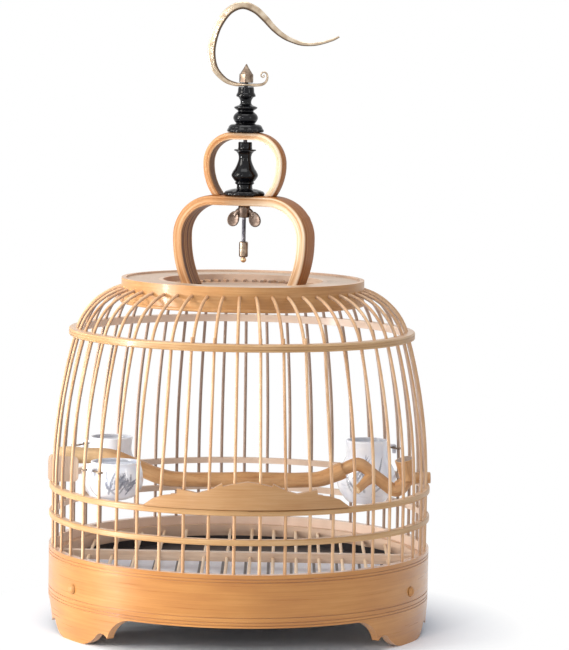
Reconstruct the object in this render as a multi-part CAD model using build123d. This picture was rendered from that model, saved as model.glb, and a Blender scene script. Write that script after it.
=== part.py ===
from build123d import *
import os
from math import asin, atan, cos, degrees, radians, sin, sqrt, tan

# Bamboo bird cage, in millimetres. The origin lies on the cage's axis, on the floor that the
# feet stand on. +Z is up and the sliding door faces -Y. A bearing is measured from the door,
# positive towards +X.

# Clearances
bar_fit = 0.05          # round a bar, rod or pin in its hole, on the radius
joint_gap = 0.1         # between a hoop and the board bent or set into it
seat_gap = 0.3          # under a piece that lies on another one and can be lifted off
overrun = 2             # how far a cutting shape reaches past the face that it cuts

# Hoops and rings of the cage wall
cage_od = 330
hoop_wall = 6
foot_height = 27
hoop_height = 44
groove_depth = 0.8
groove_width = 0.9
rim_groove_drops = (3.7, 6.2)
foot_groove_rises = (2.1, 4.6, 8.5)
ring_height = 5
ring_edge = 1.2
lower_ring_z = 95
upper_ring_z = 119.5

# Bars
bar_count = 48
bar_d = 2.8
bar_cover = 3.5         # from the hoops' outer face to a bar's centre
bar_socket = 12         # how deep a bar stands in the base hoop
lean = 16               # of the bars above the shoulder, in degrees
shoulder_z = 190.8      # where the upright and the leaning stretch of a bar would meet
shoulder_bend = 470
crown_z = 295           # centre of the bars where they run flat under the top
crown_bend = 53
disc_seat = 3.5         # how far a bar's end reaches over the top disc

# Waist ring, and the door and guide bars that meet it
waist_z = 252.1
waist_height = 6.3
waist_inside = 3.1      # from a bar's centre to the ring's inner face
waist_outside = 6.4
waist_groove_depth = 0.5
dome_foot = 4.2         # how far above the ring's bottom the door's dome bars stand
split_rise = 2.2        # how far a short bar reaches into the upper ring

# Crown
skirt_od = 212
skirt_wall = 5
skirt_z = 280.5
skirt_height = 21.5
bead_height = 3
bead_depth = 1.2
board_thickness = 3.5
board_drop = 1.5        # from the skirt's top edge to the board's top
inner_hoop_od = 146
inner_hoop_wall = 4
inner_hoop_height = 9.5
disc_d = 123
disc_z = 288.4
disc_height = 6

# Feet, cut from the same strip as the base hoop
foot_bearings = (-60, 60, 180)
foot_half_width = 72

# Pegs that hold the floor frame
peg_z = 44
peg_d = 5
peg_head_d = 9
peg_head_height = 3
peg_inset = 0.3         # of the peg's tip inside the floor hoop's inner face

# Floor frame and tray
floor_turn = -3.15      # of the frame about the axis, in degrees
floor_hoop_gap = 0.6    # between the floor hoop and the base hoop
floor_hoop_wall = 5.4
floor_hoop_z = 38
floor_hoop_height = 25
beam_size = 8
beam_housing = 2.6      # how far the beam's ends are let into the hoop
rod_d = 2.8
rod_pitch = 20
rod_pairs = 7
rod_socket = 2.4
rod_rise = 3            # of the rods' centre above the beam's bottom
tray_gap = 0.3
tray_z = 45
tray_height = 8
tray_wall = 1.6

# Sliding door
door_bars_each_side = 3
door_bar_d = 2.5
door_slot_fit = 0.25
door_foot_out = 1.8     # from the wall's bars out to the door's bars, at the board's bottom
door_waist_out = 2.88   # the same at the waist ring
door_tip = 8            # of the bars above the waist ring's middle
door_travel = 100
door_board_front = 3.3  # from a bar's centre to the board's front
door_board_back = 3
door_board_height = 22.6
door_board_half_span = 30.8
door_bar_foot = 3       # wood left under a bar's end in the board
wing_bearing = 22       # where the board thins to pass the guide bars
wing_thickness = 2.2

# Handle
handle_turn = -22       # of the handle's plane about the axis, in degrees
arch_edge = 2.4
lower_arch_top = 373.5
lower_arch_half_span = 61
lower_arch_foot_half_span = 52
lower_arch_wide_rise = 40.6     # of its widest place above its feet
lower_arch_corner = 36
lower_arch_thickness = 8.5
lower_arch_width = 27
upper_arch_top = 428
upper_arch_half_span = 36.5
upper_arch_foot_half_span = 28.2
upper_arch_wide_rise = 26.5
upper_arch_corner = 27
upper_arch_thickness = 6.5
upper_arch_width = 14
tenon_depth = 4
tenon_thickness = 4
tenon_width = 12
baluster_height = 46
baluster_r = 18.1
finial_height = 38.7
finial_r = 16.4
lobe_count = 8
lobe_depth = 1.4

# Rod and its fittings
rod_shank_d = 3.4
rod_ball_d = 5
rod_ball_z = 318
ferrule_rise = 2.3      # of its foot above the middle of the ball
ferrule_height = 13.4
ferrule_d = 7.8
nut_hub_d = 10.3
nut_hub_height = 10.4
nut_wing_length = 13.6
nut_wing_width = 10.4
nut_wing_thickness = 2
nut_wing_out = 9.6
nut_wing_drop = 11.5
nut_wing_tilt = 20
cap_nut_d = 12
cap_nut_height = 8
cap_nut_point = 8

# Hook
hook_turn = -3.15       # of the hook's plane about the axis at rest, in degrees
hook_height = 70
hook_strap = 6.6
hook_thickness = 3.4
hook_eye_d = 9.6
hook_eye_height = 3

# Perch
perch_d = 13.4
perch_thin_d = 10       # of the right end, past the first knot
perch_knot_d = 14.4
perch_overhang = 1      # how far the perch reaches past the rings
perch_left_rise = 16.5
perch_stub_d = 8
perch_sawn_foot_d = 13
perch_sawn_top_d = 16
perch_rest_length = 26
perch_rest_width = 15.6

# Feeding cups, hung on wires between two bars
wire_d = 1.6
wire_z = 146
wire_fit = 0.1
wire_hook_angle = 240   # how far a wire bends round its bar, in degrees
cup_wall = 2
bowl_gap = 3.45         # from the bowl's rim to its wire
bowl_z = 121.5
bowl_height = 30.5
bowl_d = 46.5
jar_gap = 7.9
jar_z = 99
jar_height = 55
jar_d = 53
ear_width = 6
ear_thickness = 2.4
ear_drop = 5

# Sizes that follow from the ones above
cage_r = cage_od / 2
hoop_inner_r = cage_r - hoop_wall
hoop_top = foot_height + hoop_height
bar_r = cage_r - bar_cover
pitch = 360 / bar_count
upper_ring_top = upper_ring_z + ring_height
waist_middle = waist_z + waist_height / 2
waist_top = waist_z + waist_height
skirt_r = skirt_od / 2
skirt_top = skirt_z + skirt_height
board_top = skirt_top - board_drop
inner_hoop_r = inner_hoop_od / 2
disc_r = disc_d / 2
disc_top = disc_z + disc_height
floor_hoop_r = hoop_inner_r - floor_hoop_gap
floor_hoop_inner_r = floor_hoop_r - floor_hoop_wall
floor_top = floor_hoop_z + floor_hoop_height
door_z = upper_ring_top + seat_gap
door_foot_r = bar_r + door_foot_out
door_waist_r = bar_r - (waist_middle - shoulder_z) * tan(radians(lean)) + door_waist_out
door_slope = (door_foot_r - door_waist_r) / (waist_middle - door_z)
# The door slides straight, so its slope is that of a bar half way out to the side.
slide_slope = door_slope * cos(radians(pitch * door_bars_each_side / 2))
finial_top = upper_arch_top + finial_height
ferrule_z = rod_ball_z + ferrule_rise
hook_eye_z = finial_top + seat_gap
cap_nut_z = hook_eye_z + hook_eye_height + seat_gap
perch_reach = cage_r + perch_overhang
perch_z = upper_ring_top + seat_gap + perch_thin_d / 2

BASE = (Align.CENTER, Align.CENTER, Align.MIN)


def write(shape, name):
    """One sub-part's solids, as one file."""
    solids = shape if isinstance(shape, list) else shape.solids()
    part = Compound(label=name, children=solids) if len(solids) > 1 else solids[0]
    part.label = name
    export_step(part, f"parts/{name}.step")


def drum(radius, low, high):
    """Upright cylinder on the axis, between two heights."""
    return Pos(0, 0, low) * Cylinder(radius, high - low, align=BASE)


def band(inner, outer, low, high, edge=0):
    """Bent strip: a hoop or ring with rounded outer edges."""
    solid = drum(outer, low, high)
    if edge:
        solid = fillet(solid.edges().filter_by(GeomType.CIRCLE), edge)
    return solid - drum(inner, low - overrun, high + overrun)


def grooves(radius, heights, depth):
    """Rings that cut fine grooves into a hoop's outer face."""
    return [band(radius - depth, radius + overrun, z - groove_width / 2, z + groove_width / 2)
            for z in heights]


def at_bearing(bearing, shape):
    """Turn a shape made on the door's side (-Y) to its bearing."""
    return Rot(0, 0, bearing) * shape


def on_wall(radius, z):
    """Point in the upright plane through the axis and the door."""
    return Vector(0, -radius, z)


def tube_along(points, radii, diameter):
    """Round bar swept along straight runs that arcs join."""
    path = FilletPolyline(*points, radius=radii) if radii else Line(*points)
    return sweep(Plane(path @ 0, z_dir=path % 0) * Circle(diameter / 2), path=path)


def leaning_r(z):
    """Radius of a bar's centre on its leaning stretch."""
    return bar_r - (z - shoulder_z) * tan(radians(lean))


def door_r(z):
    """Radius of a door bar's centre."""
    return door_foot_r - (z - door_z) * door_slope


# Bars, each as a route on the door's side. A bore is the same route, wider by the fit.
hoop_seat = on_wall(bar_r, hoop_top - bar_socket)
bend_point = on_wall(bar_r, shoulder_z)
crown_point = on_wall(leaning_r(crown_z), crown_z)
bar_end = on_wall(disc_r - disc_seat, crown_z)
split_z = upper_ring_z + split_rise
dome_z = waist_z + dome_foot
guide_top_z = waist_middle

full_route = ([hoop_seat, bend_point, crown_point, bar_end], [shoulder_bend, crown_bend])
stub_route = ([hoop_seat, on_wall(bar_r, split_z)], None)
guide_route = ([on_wall(bar_r, split_z + seat_gap), on_wall(leaning_r(guide_top_z), guide_top_z)], None)
dome_route = ([on_wall(leaning_r(dome_z), dome_z), crown_point, bar_end], [crown_bend])

bearings = [(index + 0.5) * pitch for index in range(-bar_count // 2, bar_count // 2)]
door_bearings = [b for b in bearings if abs(b) < door_bars_each_side * pitch]
guide_bearings = [b for b in bearings if door_bars_each_side * pitch < abs(b)
                  < (door_bars_each_side + 1) * pitch]
split_bearings = door_bearings + guide_bearings
full_bearings = [b for b in bearings if b not in split_bearings]


def spread(route, diameter, places):
    """Equal bars along one route, one at each bearing."""
    bar = tube_along(*route, diameter).solid()
    return [at_bearing(b, bar) for b in places]


full_bars = spread(full_route, bar_d, full_bearings)
door_stubs = spread(stub_route, bar_d, split_bearings)
door_guides = spread(guide_route, bar_d, guide_bearings)
dome_bars = spread(dome_route, bar_d, split_bearings)
bore_d = bar_d + 2 * bar_fit
full_bores = spread(full_route, bore_d, full_bearings)
stub_bores = spread(stub_route, bore_d, split_bearings)
guide_bores = spread(guide_route, bore_d, guide_bearings)
dome_bores = spread(dome_route, bore_d, split_bearings)

write(full_bars, "full_bars")
write(door_stubs, "door_stubs")
write(door_guides, "door_guides")
write(dome_bars, "dome_bars")


# Pegs: a shaft through both hoops, with a domed head outside
def radial_pin(diameter, inner, outer):
    """Round pin that points outwards at the door's side."""
    pin = Cylinder(diameter / 2, outer - inner, align=BASE)
    return Pos(0, -inner, peg_z) * Rot(90, 0, 0) * pin


def peg():
    """Bamboo peg, with its head just off the hoop's face."""
    tip_r = floor_hoop_inner_r + peg_inset
    head_r = cage_r + seat_gap
    dome_r = (peg_head_height ** 2 + (peg_head_d / 2) ** 2) / (2 * peg_head_height)
    ball = Pos(0, -(head_r + peg_head_height - dome_r), peg_z) * Sphere(dome_r)
    shaft = radial_pin(peg_d, tip_r, head_r + overrun)
    return (radial_pin(peg_head_d, head_r, head_r + peg_head_height) & ball) + shaft


peg_holes = [at_bearing(b, radial_pin(peg_d + 2 * bar_fit, floor_hoop_inner_r - overrun,
                                      cage_r + overrun)) for b in foot_bearings]
for name, bearing in zip(("peg_front_left", "peg_front_right", "peg_back"), foot_bearings):
    write(at_bearing(bearing, peg()), name)

# Base hoop and the rings of the wall
groove_heights = ([hoop_top - drop for drop in rim_groove_drops]
                  + [foot_height + rise for rise in foot_groove_rises])
base_hoop = band(hoop_inner_r, cage_r, foot_height, hoop_top)
base_hoop = base_hoop - grooves(cage_r, groove_heights, groove_depth)
base_hoop = base_hoop - full_bores - stub_bores - peg_holes
write(base_hoop, "base_hoop")

lower_ring = band(hoop_inner_r, cage_r, lower_ring_z, lower_ring_z + ring_height, ring_edge)
write(lower_ring - full_bores - stub_bores, "lower_ring")
upper_ring = band(hoop_inner_r, cage_r, upper_ring_z, upper_ring_top, ring_edge)
write(upper_ring - full_bores - stub_bores - guide_bores, "upper_ring")


def door_slot(bearing):
    """Slot that lets a leaning door bar slide through the waist ring."""
    radius, angle = door_r(waist_middle), radians(bearing)
    side = sin(angle) * door_slope * door_travel
    inward = (slide_slope - door_slope * cos(angle)) * door_travel
    x, y = radius * sin(angle), -radius * cos(angle)
    width = door_bar_d + 2 * door_slot_fit
    length = sqrt(side ** 2 + inward ** 2)
    turn = degrees(atan(inward / side))
    outline = Rot(0, 0, turn) * SlotCenterToCenter(length, width)
    foot = Plane((x + side / 2, y + inward / 2, waist_middle),
                 x_dir=(1, 0, 0), z_dir=(0, slide_slope, 1))
    return extrude(foot * outline, amount=waist_height / 2 + overrun, both=True)


door_slots = [door_slot(b) for b in door_bearings]
waist_inner_r = leaning_r(waist_middle) - waist_inside
waist_r = leaning_r(waist_middle) + waist_outside
waist_ring = band(waist_inner_r, waist_r, waist_z, waist_top, ring_edge)
waist_ring = waist_ring - grooves(waist_r, (waist_z + waist_height / 3, waist_top - waist_height / 3),
                                  waist_groove_depth)
waist_ring = waist_ring - full_bores - guide_bores - dome_bores - door_slots
write(waist_ring, "waist_ring")

# Crown: skirt hoop with a bead, flat board, inner hoop and the disc that the handle stands on
skirt_inner_r = skirt_r - skirt_wall
skirt = band(skirt_inner_r, skirt_r - bead_depth, skirt_z, skirt_top)
bead = band(skirt_inner_r, skirt_r, skirt_z, skirt_z + bead_height, ring_edge)
write(skirt + bead - full_bores - dome_bores, "skirt_hoop")
write(band(inner_hoop_r + joint_gap, skirt_inner_r - joint_gap, board_top - board_thickness,
           board_top), "top_board")
inner_hoop = band(inner_hoop_r - inner_hoop_wall, inner_hoop_r, board_top - inner_hoop_height,
                  board_top)
write(inner_hoop - full_bores - dome_bores, "inner_hoop")


def arch_foot_x(foot_half_span, thickness):
    """Middle of an arch's strip at its foot."""
    return foot_half_span - thickness / 2


def in_handle(shape):
    """Turn a shape made in the XZ plane into the handle's plane."""
    return Rot(0, 0, handle_turn) * shape


rod_bore = drum(rod_shank_d / 2 + bar_fit, disc_z - overrun, cap_nut_z + cap_nut_height)


def notch(bearing):
    """Notch in the disc's edge that a bar's end lies in."""
    width, depth = bore_d, disc_top - crown_z + bore_d / 2
    block = Box(width, disc_seat + overrun, depth + overrun,
                align=(Align.CENTER, Align.MAX, Align.MIN))
    return at_bearing(bearing, Pos(0, -(disc_r - disc_seat), disc_top - depth) * block)


def tenon(side, grow):
    """Tongue under an arch's leg, or the mortise for it, wider by the fit."""
    x = side * arch_foot_x(lower_arch_foot_half_span, lower_arch_thickness)
    block = Box(tenon_thickness + 2 * grow, tenon_width + 2 * grow, tenon_depth + overrun,
                align=(Align.CENTER, Align.CENTER, Align.MIN))
    return in_handle(Pos(x, 0, disc_top - tenon_depth) * block)


disc = drum(disc_r, disc_z, disc_top) - [notch(b) for b in bearings]
disc = disc - [tenon(side, bar_fit) for side in (-1, 1)]
write(disc, "top_disc")


# Floor frame, tray and feet
def in_floor(shape):
    """Turn a shape made square to the axes into the floor frame's direction."""
    return Rot(0, 0, floor_turn) * shape


beam_z = floor_top - beam_size
rod_z = beam_z + rod_rise
rod_places = [(index + 0.5) * rod_pitch for index in range(-rod_pairs, rod_pairs)]


def floor_rod(x, diameter):
    """Rod across the frame, as long as the hoop lets it be at its place."""
    half = sqrt((floor_hoop_inner_r + rod_socket) ** 2 - x ** 2)
    rod = Cylinder(diameter / 2, 2 * half)
    return in_floor(Pos(x, 0, rod_z) * Rot(90, 0, 0) * rod)


beam_length = 2 * (floor_hoop_inner_r + beam_housing)
beam_box = in_floor(Pos(0, 0, beam_z) * Box(beam_length, beam_size, beam_size, align=BASE))
rod_bores = [floor_rod(x, rod_d + 2 * bar_fit) for x in rod_places]
floor_hoop = band(floor_hoop_inner_r, floor_hoop_r, floor_hoop_z, floor_top)
write(floor_hoop - beam_box - rod_bores - peg_holes, "floor_hoop")
write(beam_box - rod_bores, "floor_crossbeam")
write([floor_rod(x, rod_d).solid() for x in rod_places], "floor_rods")

tray_r = floor_hoop_inner_r - tray_gap
tray = drum(tray_r, tray_z, tray_z + tray_height)
tray = tray - drum(tray_r - tray_wall, tray_z + tray_wall, tray_z + tray_height + overrun)
write(tray, "tray")

# Half outline of a foot, as shares of its half width and height: flat sole, rounded toe,
# small cusp and a long hollow curve up to the hoop
sole_share = 0.2
toe_shares = ((0.37, 0.12), (0.483, 0.37))
cusp_shares = ((0.57, 0.46), (0.656, 0.333))
hollow_shares = ((0.745, 0.74), (1, 1))


def foot(bearing):
    """Cloud-shaped foot, cut from the hoop's strip."""
    def point(shares):
        return (shares[0] * foot_half_width, shares[1] * foot_height)
    def side(sign):
        sole = (sign * sole_share * foot_half_width, 0)
        stretches = [[(sign * x, z) for x, z in map(point, shares)]
                     for shares in (toe_shares, cusp_shares, hollow_shares)]
        edges, last = [Line((0, 0), sole)], sole
        for middle, end in stretches:
            edges.append(ThreePointArc(last, middle, end))
            last = end
        return edges + [Line(last, (0, foot_height))]
    outline = make_face(Curve() + (side(1) + side(-1)))
    block = extrude(Plane.XZ * outline, amount=cage_r + overrun)
    strip = band(hoop_inner_r, cage_r, 0, foot_height)
    return at_bearing(bearing, block & strip)


write([foot(b).solid() for b in foot_bearings], "base_feet")

# Half outline of the door's board, from its tip to its middle, as shares of the half span
# and the height
board_shares = ((1, 0), (0.89, 0.29), (0.78, 0.43), (0.66, 0.5), (0.655, 0.68), (0.53, 0.61),
                (0.46, 0.56), (0.37, 0.66), (0.315, 0.76), (0.235, 0.93), (0.225, 0.83),
                (0.11, 0.94), (0, 1))
door_front_r = door_foot_r + door_board_front


def door_cone(offset):
    """Solid cone that leans like the door, its face at a distance from the bars' centre."""
    low, high = door_z, door_z + door_board_height
    corners = [(0, low), (door_r(low) + offset, low), (door_r(high) + offset, high), (0, high)]
    return revolve(Plane.XZ * make_face(Polyline(*corners, close=True)), axis=Axis.Z)


def board_outline():
    """Front view of the board, both halves, as a block reaching out from the axis."""
    def point(share_x, share_z, side):
        x = side * door_front_r * sin(radians(share_x * door_board_half_span))
        return (x, door_z + share_z * door_board_height)
    left = [point(*shares, -1) for shares in board_shares]
    right = [point(*shares, 1) for shares in reversed(board_shares[:-1])]
    face = make_face(Polyline(*left, *right, close=True))
    return extrude(Plane.XZ * face, amount=door_front_r + overrun)


def wing_block(side):
    """Where the board's end is thinned from behind to pass the guide bars."""
    align = (Align.MIN if side > 0 else Align.MAX, Align.MAX, Align.MIN)
    block = Box(cage_r, cage_r, cage_r, align=align)
    return Pos(side * door_front_r * sin(radians(wing_bearing)), 0, door_z) * block


door_tip_z = waist_middle + door_tip
door_bar_z = door_z + door_bar_foot
door_route = ([on_wall(door_r(door_bar_z), door_bar_z), on_wall(door_r(door_tip_z), door_tip_z)],
              None)
board = (door_cone(door_board_front) - door_cone(-door_board_back)) & board_outline()
thinning = door_cone(door_board_front - wing_thickness)
board = board - [thinning & wing_block(side) for side in (-1, 1)]
write(board - spread(door_route, door_bar_d + 2 * bar_fit, door_bearings), "door_board")
write(spread(door_route, door_bar_d, door_bearings), "door_bars")


# Handle arches
def arch(top, half_span, foot_half_span, wide_z, foot_z, corner, thickness, width):
    """Bent strip: legs that lean in to their feet, round corners and a flat top."""
    drop, draw_in = wide_z - foot_z, half_span - foot_half_span
    leg_r = (drop ** 2 + draw_in ** 2) / (2 * draw_in)
    leg_x, corner_x, corner_z = half_span - leg_r, half_span - corner, top - corner

    def face(inset):
        """Front view of all that lies within a line set in from the arch's outer face."""
        r, x, z = leg_r - inset, half_span - inset, top - inset
        lean_in = degrees(asin(drop / r))
        foot_x = leg_x + r * cos(radians(lean_in))
        return make_face(Curve() + [
            CenterArc((leg_x, wide_z), r, -lean_in, lean_in),
            Line((x, wide_z), (x, corner_z)),
            CenterArc((corner_x, corner_z), corner - inset, 0, 90),
            Line((corner_x, z), (-corner_x, z)),
            CenterArc((-corner_x, corner_z), corner - inset, 90, 90),
            Line((-x, corner_z), (-x, wide_z)),
            CenterArc((-leg_x, wide_z), r, 180, lean_in),
            Line((-foot_x, foot_z), (foot_x, foot_z))])

    block = extrude(Plane.XZ * face(0), amount=width / 2, both=True)
    rim = [edge for edge in block.faces().filter_by(Axis.Y).edges() if edge.center().Z > foot_z]
    tunnel = extrude(Plane.XZ * face(thickness), amount=width, both=True)
    return in_handle(fillet(rim, arch_edge) - tunnel) - rod_bore


lower_arch = arch(lower_arch_top, lower_arch_half_span, lower_arch_foot_half_span,
                  disc_top + lower_arch_wide_rise, disc_top, lower_arch_corner, lower_arch_thickness,
                  lower_arch_width)
write(lower_arch + [tenon(side, 0) for side in (-1, 1)], "lower_arch")
upper_arch = arch(upper_arch_top, upper_arch_half_span, upper_arch_foot_half_span,
                  lower_arch_top + upper_arch_wide_rise, lower_arch_top, upper_arch_corner, upper_arch_thickness,
                  upper_arch_width)
write(upper_arch, "upper_arch")

# Turned profiles, from the bottom up, as shares of the greatest radius and of the height.
# Each stretch is straight or a smooth curve.
baluster_shares = (
    ("straight", ((0.96, 0), (1, 0.03), (0.99, 0.055), (0.83, 0.102), (0.387, 0.13))),
    ("smooth", ((0.387, 0.13), (0.36, 0.222), (0.635, 0.354), (0.464, 0.485), (0.293, 0.672),
                (0.36, 0.79), (0.508, 0.84))),
    ("straight", ((0.508, 0.84), (0.5, 0.857), (0.331, 0.862), (0.331, 1))))
finial_shares = (
    ("straight", ((0.97, 0), (1, 0.03), (0.97, 0.07), (0.76, 0.178), (0.5, 0.19))),
    ("smooth", ((0.5, 0.19), (0.6, 0.25), (0.652, 0.318), (0.56, 0.4), (0.42, 0.455))),
    ("straight", ((0.42, 0.455), (0.44, 0.485))),
    ("smooth", ((0.44, 0.485), (0.57, 0.515), (0.61, 0.54), (0.55, 0.57), (0.36, 0.6),
                (0.29, 0.64), (0.31, 0.71), (0.4, 0.77))),
    ("straight", ((0.4, 0.77), (0.5, 0.785), (0.512, 0.806))),
    ("smooth", ((0.512, 0.806), (0.44, 0.88), (0.42, 1))))


def turned(stretches, radius, height, foot_z):
    """Wood turned on a lathe, bored for the rod."""
    edges = []
    for kind, shares in stretches:
        points = [(radius * r, foot_z + height * z) for r, z in shares]
        edges.append(Spline(*points) if kind == "smooth" else Polyline(*points))
    edges += [Polyline((radius * stretches[-1][1][-1][0], foot_z + height),
                       (0, foot_z + height), (0, foot_z),
                       (radius * stretches[0][1][0][0], foot_z))]
    return revolve(Plane.XZ * make_face(Curve() + edges), axis=Axis.Z) - rod_bore


def petals(radius, low, high):
    """Cutters that scallop a turned flange into lobes."""
    step = 360 / lobe_count
    cutter_r = radius * sin(radians(step / 2)) / 2
    place = radius + cutter_r - lobe_depth
    return [Rot(0, 0, step * index) * Pos(place, 0, 0) * drum(cutter_r, low, high)
            for index in range(lobe_count)]


baluster = turned(baluster_shares, baluster_r, baluster_height, lower_arch_top)
flange_top = lower_arch_top + baluster_height * baluster_shares[0][1][-1][1]
baluster = baluster - petals(baluster_r, lower_arch_top - overrun, flange_top)
write(baluster, "baluster")
finial = turned(finial_shares, finial_r, finial_height, upper_arch_top)
flange_top = upper_arch_top + finial_height * finial_shares[0][1][-1][1]
write(finial - petals(finial_r, upper_arch_top - overrun, flange_top), "finial")

# Rod, from the ball under its ferrule to the cap nut over the hook's eye
rod_top = cap_nut_z + cap_nut_height
rod_piece = drum(rod_shank_d / 2, rod_ball_z, rod_top)
write(rod_piece + Pos(0, 0, rod_ball_z) * Sphere(rod_ball_d / 2), "rod")
ferrule = drum(ferrule_d / 2, ferrule_z, ferrule_z + ferrule_height)
ferrule = chamfer(ferrule.edges().filter_by(GeomType.CIRCLE), rod_shank_d / 4)
ferrule = ferrule - drum(rod_shank_d / 2 + bar_fit, ferrule_z - overrun,
                         ferrule_z + ferrule_height + overrun)
write(ferrule, "ferrule")

# Wing nut under the lower arch
arch_underside = lower_arch_top - lower_arch_thickness
hub_top = arch_underside - seat_gap
hub = drum(nut_hub_d / 2, hub_top - nut_hub_height, hub_top)
hub = chamfer(hub.edges().filter_by(GeomType.CIRCLE), nut_wing_thickness / 2)


def nut_wing(side):
    """Round ear of the nut, tilted outwards and hanging below the hub."""
    ear = Ellipse(nut_wing_width / 2, nut_wing_length / 2)
    ear = extrude(Plane.XZ * ear, amount=nut_wing_thickness / 2, both=True)
    return Pos(side * nut_wing_out, 0, hub_top - nut_wing_drop) * Rot(0, -side * nut_wing_tilt, 0) * ear


wing_nut = hub + [nut_wing(side) for side in (-1, 1)]
write(Rot(0, 0, handle_turn) * (wing_nut - rod_bore), "wing_nut")

# Pointed cap nut, screwed down on the rod's end
cap_nut = drum(cap_nut_d / 2, cap_nut_z, cap_nut_z + cap_nut_height)
cap_nut = cap_nut + Pos(0, 0, cap_nut_z + cap_nut_height) * Cone(
    cap_nut_d / 2, cap_nut_d / 24, cap_nut_point, align=BASE)
cap_nut = cap_nut - drum(rod_shank_d / 2 + bar_fit, cap_nut_z - overrun, rod_top)
write(cap_nut, "cap_nut")

# Middle line of the hook from its curl past the eye to the tip, as shares of its height,
# each with the strap's width there as a share of the full strap
hook_shares = ((0.174, 0.107, 0.3), (0.217, 0.154, 0.34), (0.269, 0.104, 0.38), (0.247, 0.031, 0.42),
               (0.157, 0.001, 0.46), (0, 0, 0.5), (-0.129, 0.006, 0.56), (-0.264, 0.059, 0.7),
               (-0.383, 0.19, 0.88), (-0.427, 0.364, 0.98), (-0.411, 0.536, 1), (-0.347, 0.726, 1),
               (-0.221, 0.9, 1), (-0.064, 0.97, 1), (0.093, 0.921, 0.97), (0.214, 0.817, 0.9),
               (0.333, 0.691, 0.8), (0.45, 0.6, 0.7), (0.57, 0.544, 0.6), (0.689, 0.511, 0.52),
               (0.857, 0.513, 0.42), (1.039, 0.563, 0.34), (1.131, 0.606, 0.3))


def hook_outline():
    """Flat outline of the hook, its width set off square to the middle line."""
    middle_z = hook_eye_z + hook_eye_height / 2
    line = Spline(*[(x * hook_height, middle_z + z * hook_height) for x, z, _ in hook_shares])
    sides = {1: [], -1: []}
    for x, z, width in hook_shares:
        point = Vector(x * hook_height, middle_z + z * hook_height)
        tangent = line % line.param_at_point(point)
        across = Vector(-tangent.Y, tangent.X) * (width * hook_strap / 2)
        for side, points in sides.items():
            points.append(point + across * side)
    left, right = sides[1], sides[-1]
    return make_face(Curve() + [Spline(*left), Line(left[-1], right[-1]), Spline(*right),
                                Line(right[0], left[0])])


hook = extrude(Plane.XZ * hook_outline(), amount=hook_thickness / 2, both=True)
eye_top = hook_eye_z + hook_eye_height
hook = hook - drum(cap_nut_d / 2 + overrun, eye_top, eye_top + cap_nut_height)
hook = hook - drum(cap_nut_d / 2 + overrun, hook_eye_z - cap_nut_height, hook_eye_z)
hook = hook + drum(hook_eye_d / 2, hook_eye_z, eye_top) - rod_bore
write(Rot(0, 0, hook_turn) * hook, "hook")

# Perch: a natural branch across the cage. Its thin right end lies on the upper ring between
# two bars, its thick left end on a rest, and a knot joins them. The bends are places along its
# reach and up the left end's rise, with the bend's radius as a share of the thickness.
thick_bend_shares = ((-0.97, 1, 0), (-0.672, 1, 1.94), (-0.383, -0.212, 1.49),
                     (0.425, -0.176, 1.49), (0.53, 0.333, 0))
thin_bend_shares = ((0.53, 0.333, 0), (0.62, 0.77, 1.1), (0.816, -0.8, 0.7),
                    (0.891, -0.042, 0.8), (1, 0, 0))
stub_shares = ((0.686, 0, -0.012), (0.608, -0.9, -0.588))
sawn_shares = ((0.884, 0, -0.115), (0.86, -0.224, 1))


def perch_point(x, y, z):
    """Place on the perch from shares of its reach, its thickness and its rise."""
    return Vector(x * perch_reach, y * perch_d, perch_z + z * perch_left_rise)


def branch(bend_shares, diameter):
    """Stretch of the branch of one thickness."""
    points = [perch_point(x, 0, z) for x, z, _ in bend_shares]
    radii = [radius * diameter for _, _, radius in bend_shares if radius]
    return tube_along(points, radii, diameter)


sawn_foot, sawn_top = [perch_point(*shares) for shares in sawn_shares]
sawn_stub = Plane(sawn_foot, z_dir=sawn_top - sawn_foot) * Cone(
    perch_sawn_foot_d / 2, perch_sawn_top_d / 2, (sawn_top - sawn_foot).length, align=BASE)
knot = Sphere(perch_knot_d / 2)
thick_end_x, thick_end_z, _ = thick_bend_shares[-1]
perch = branch(thick_bend_shares, perch_d) + Pos(perch_point(thick_end_x, 0, thick_end_z)) * knot
perch = perch + branch(thin_bend_shares, perch_thin_d) + Pos(sawn_foot) * knot + sawn_stub
perch = perch + tube_along([perch_point(*shares) for shares in stub_shares], None, perch_stub_d)
write(perch, "perch")

rest_high = perch_z + perch_left_rise
rest = Pos(perch_rest_length / 2 - perch_reach, 0, upper_ring_top) * Box(
    perch_rest_length, perch_rest_width, rest_high - upper_ring_top, align=BASE)
rest = fillet(rest.edges().filter_by(Axis.Y), perch_rest_width / 4)
seat = Pos(-perch_reach, 0, rest_high) * Rot(0, 90, 0) * Cylinder(
    perch_d / 2 + joint_gap, 2 * perch_reach)
write(rest - seat, "perch_rest")


# Cups and the wires that they hang on
def wall_r(z):
    """Radius of a full bar's centre on its long bend above the upper ring."""
    bend_z = shoulder_z - shoulder_bend * tan(radians(lean / 2))
    return bar_r - shoulder_bend + sqrt(shoulder_bend ** 2 - (z - bend_z) ** 2)


wire_reach = wall_r(wire_z) * sin(radians(pitch / 2))
clip_r = bar_d / 2 + wire_fit + wire_d / 2
wire_r = wall_r(wire_z) * cos(radians(pitch / 2)) - clip_r


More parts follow.
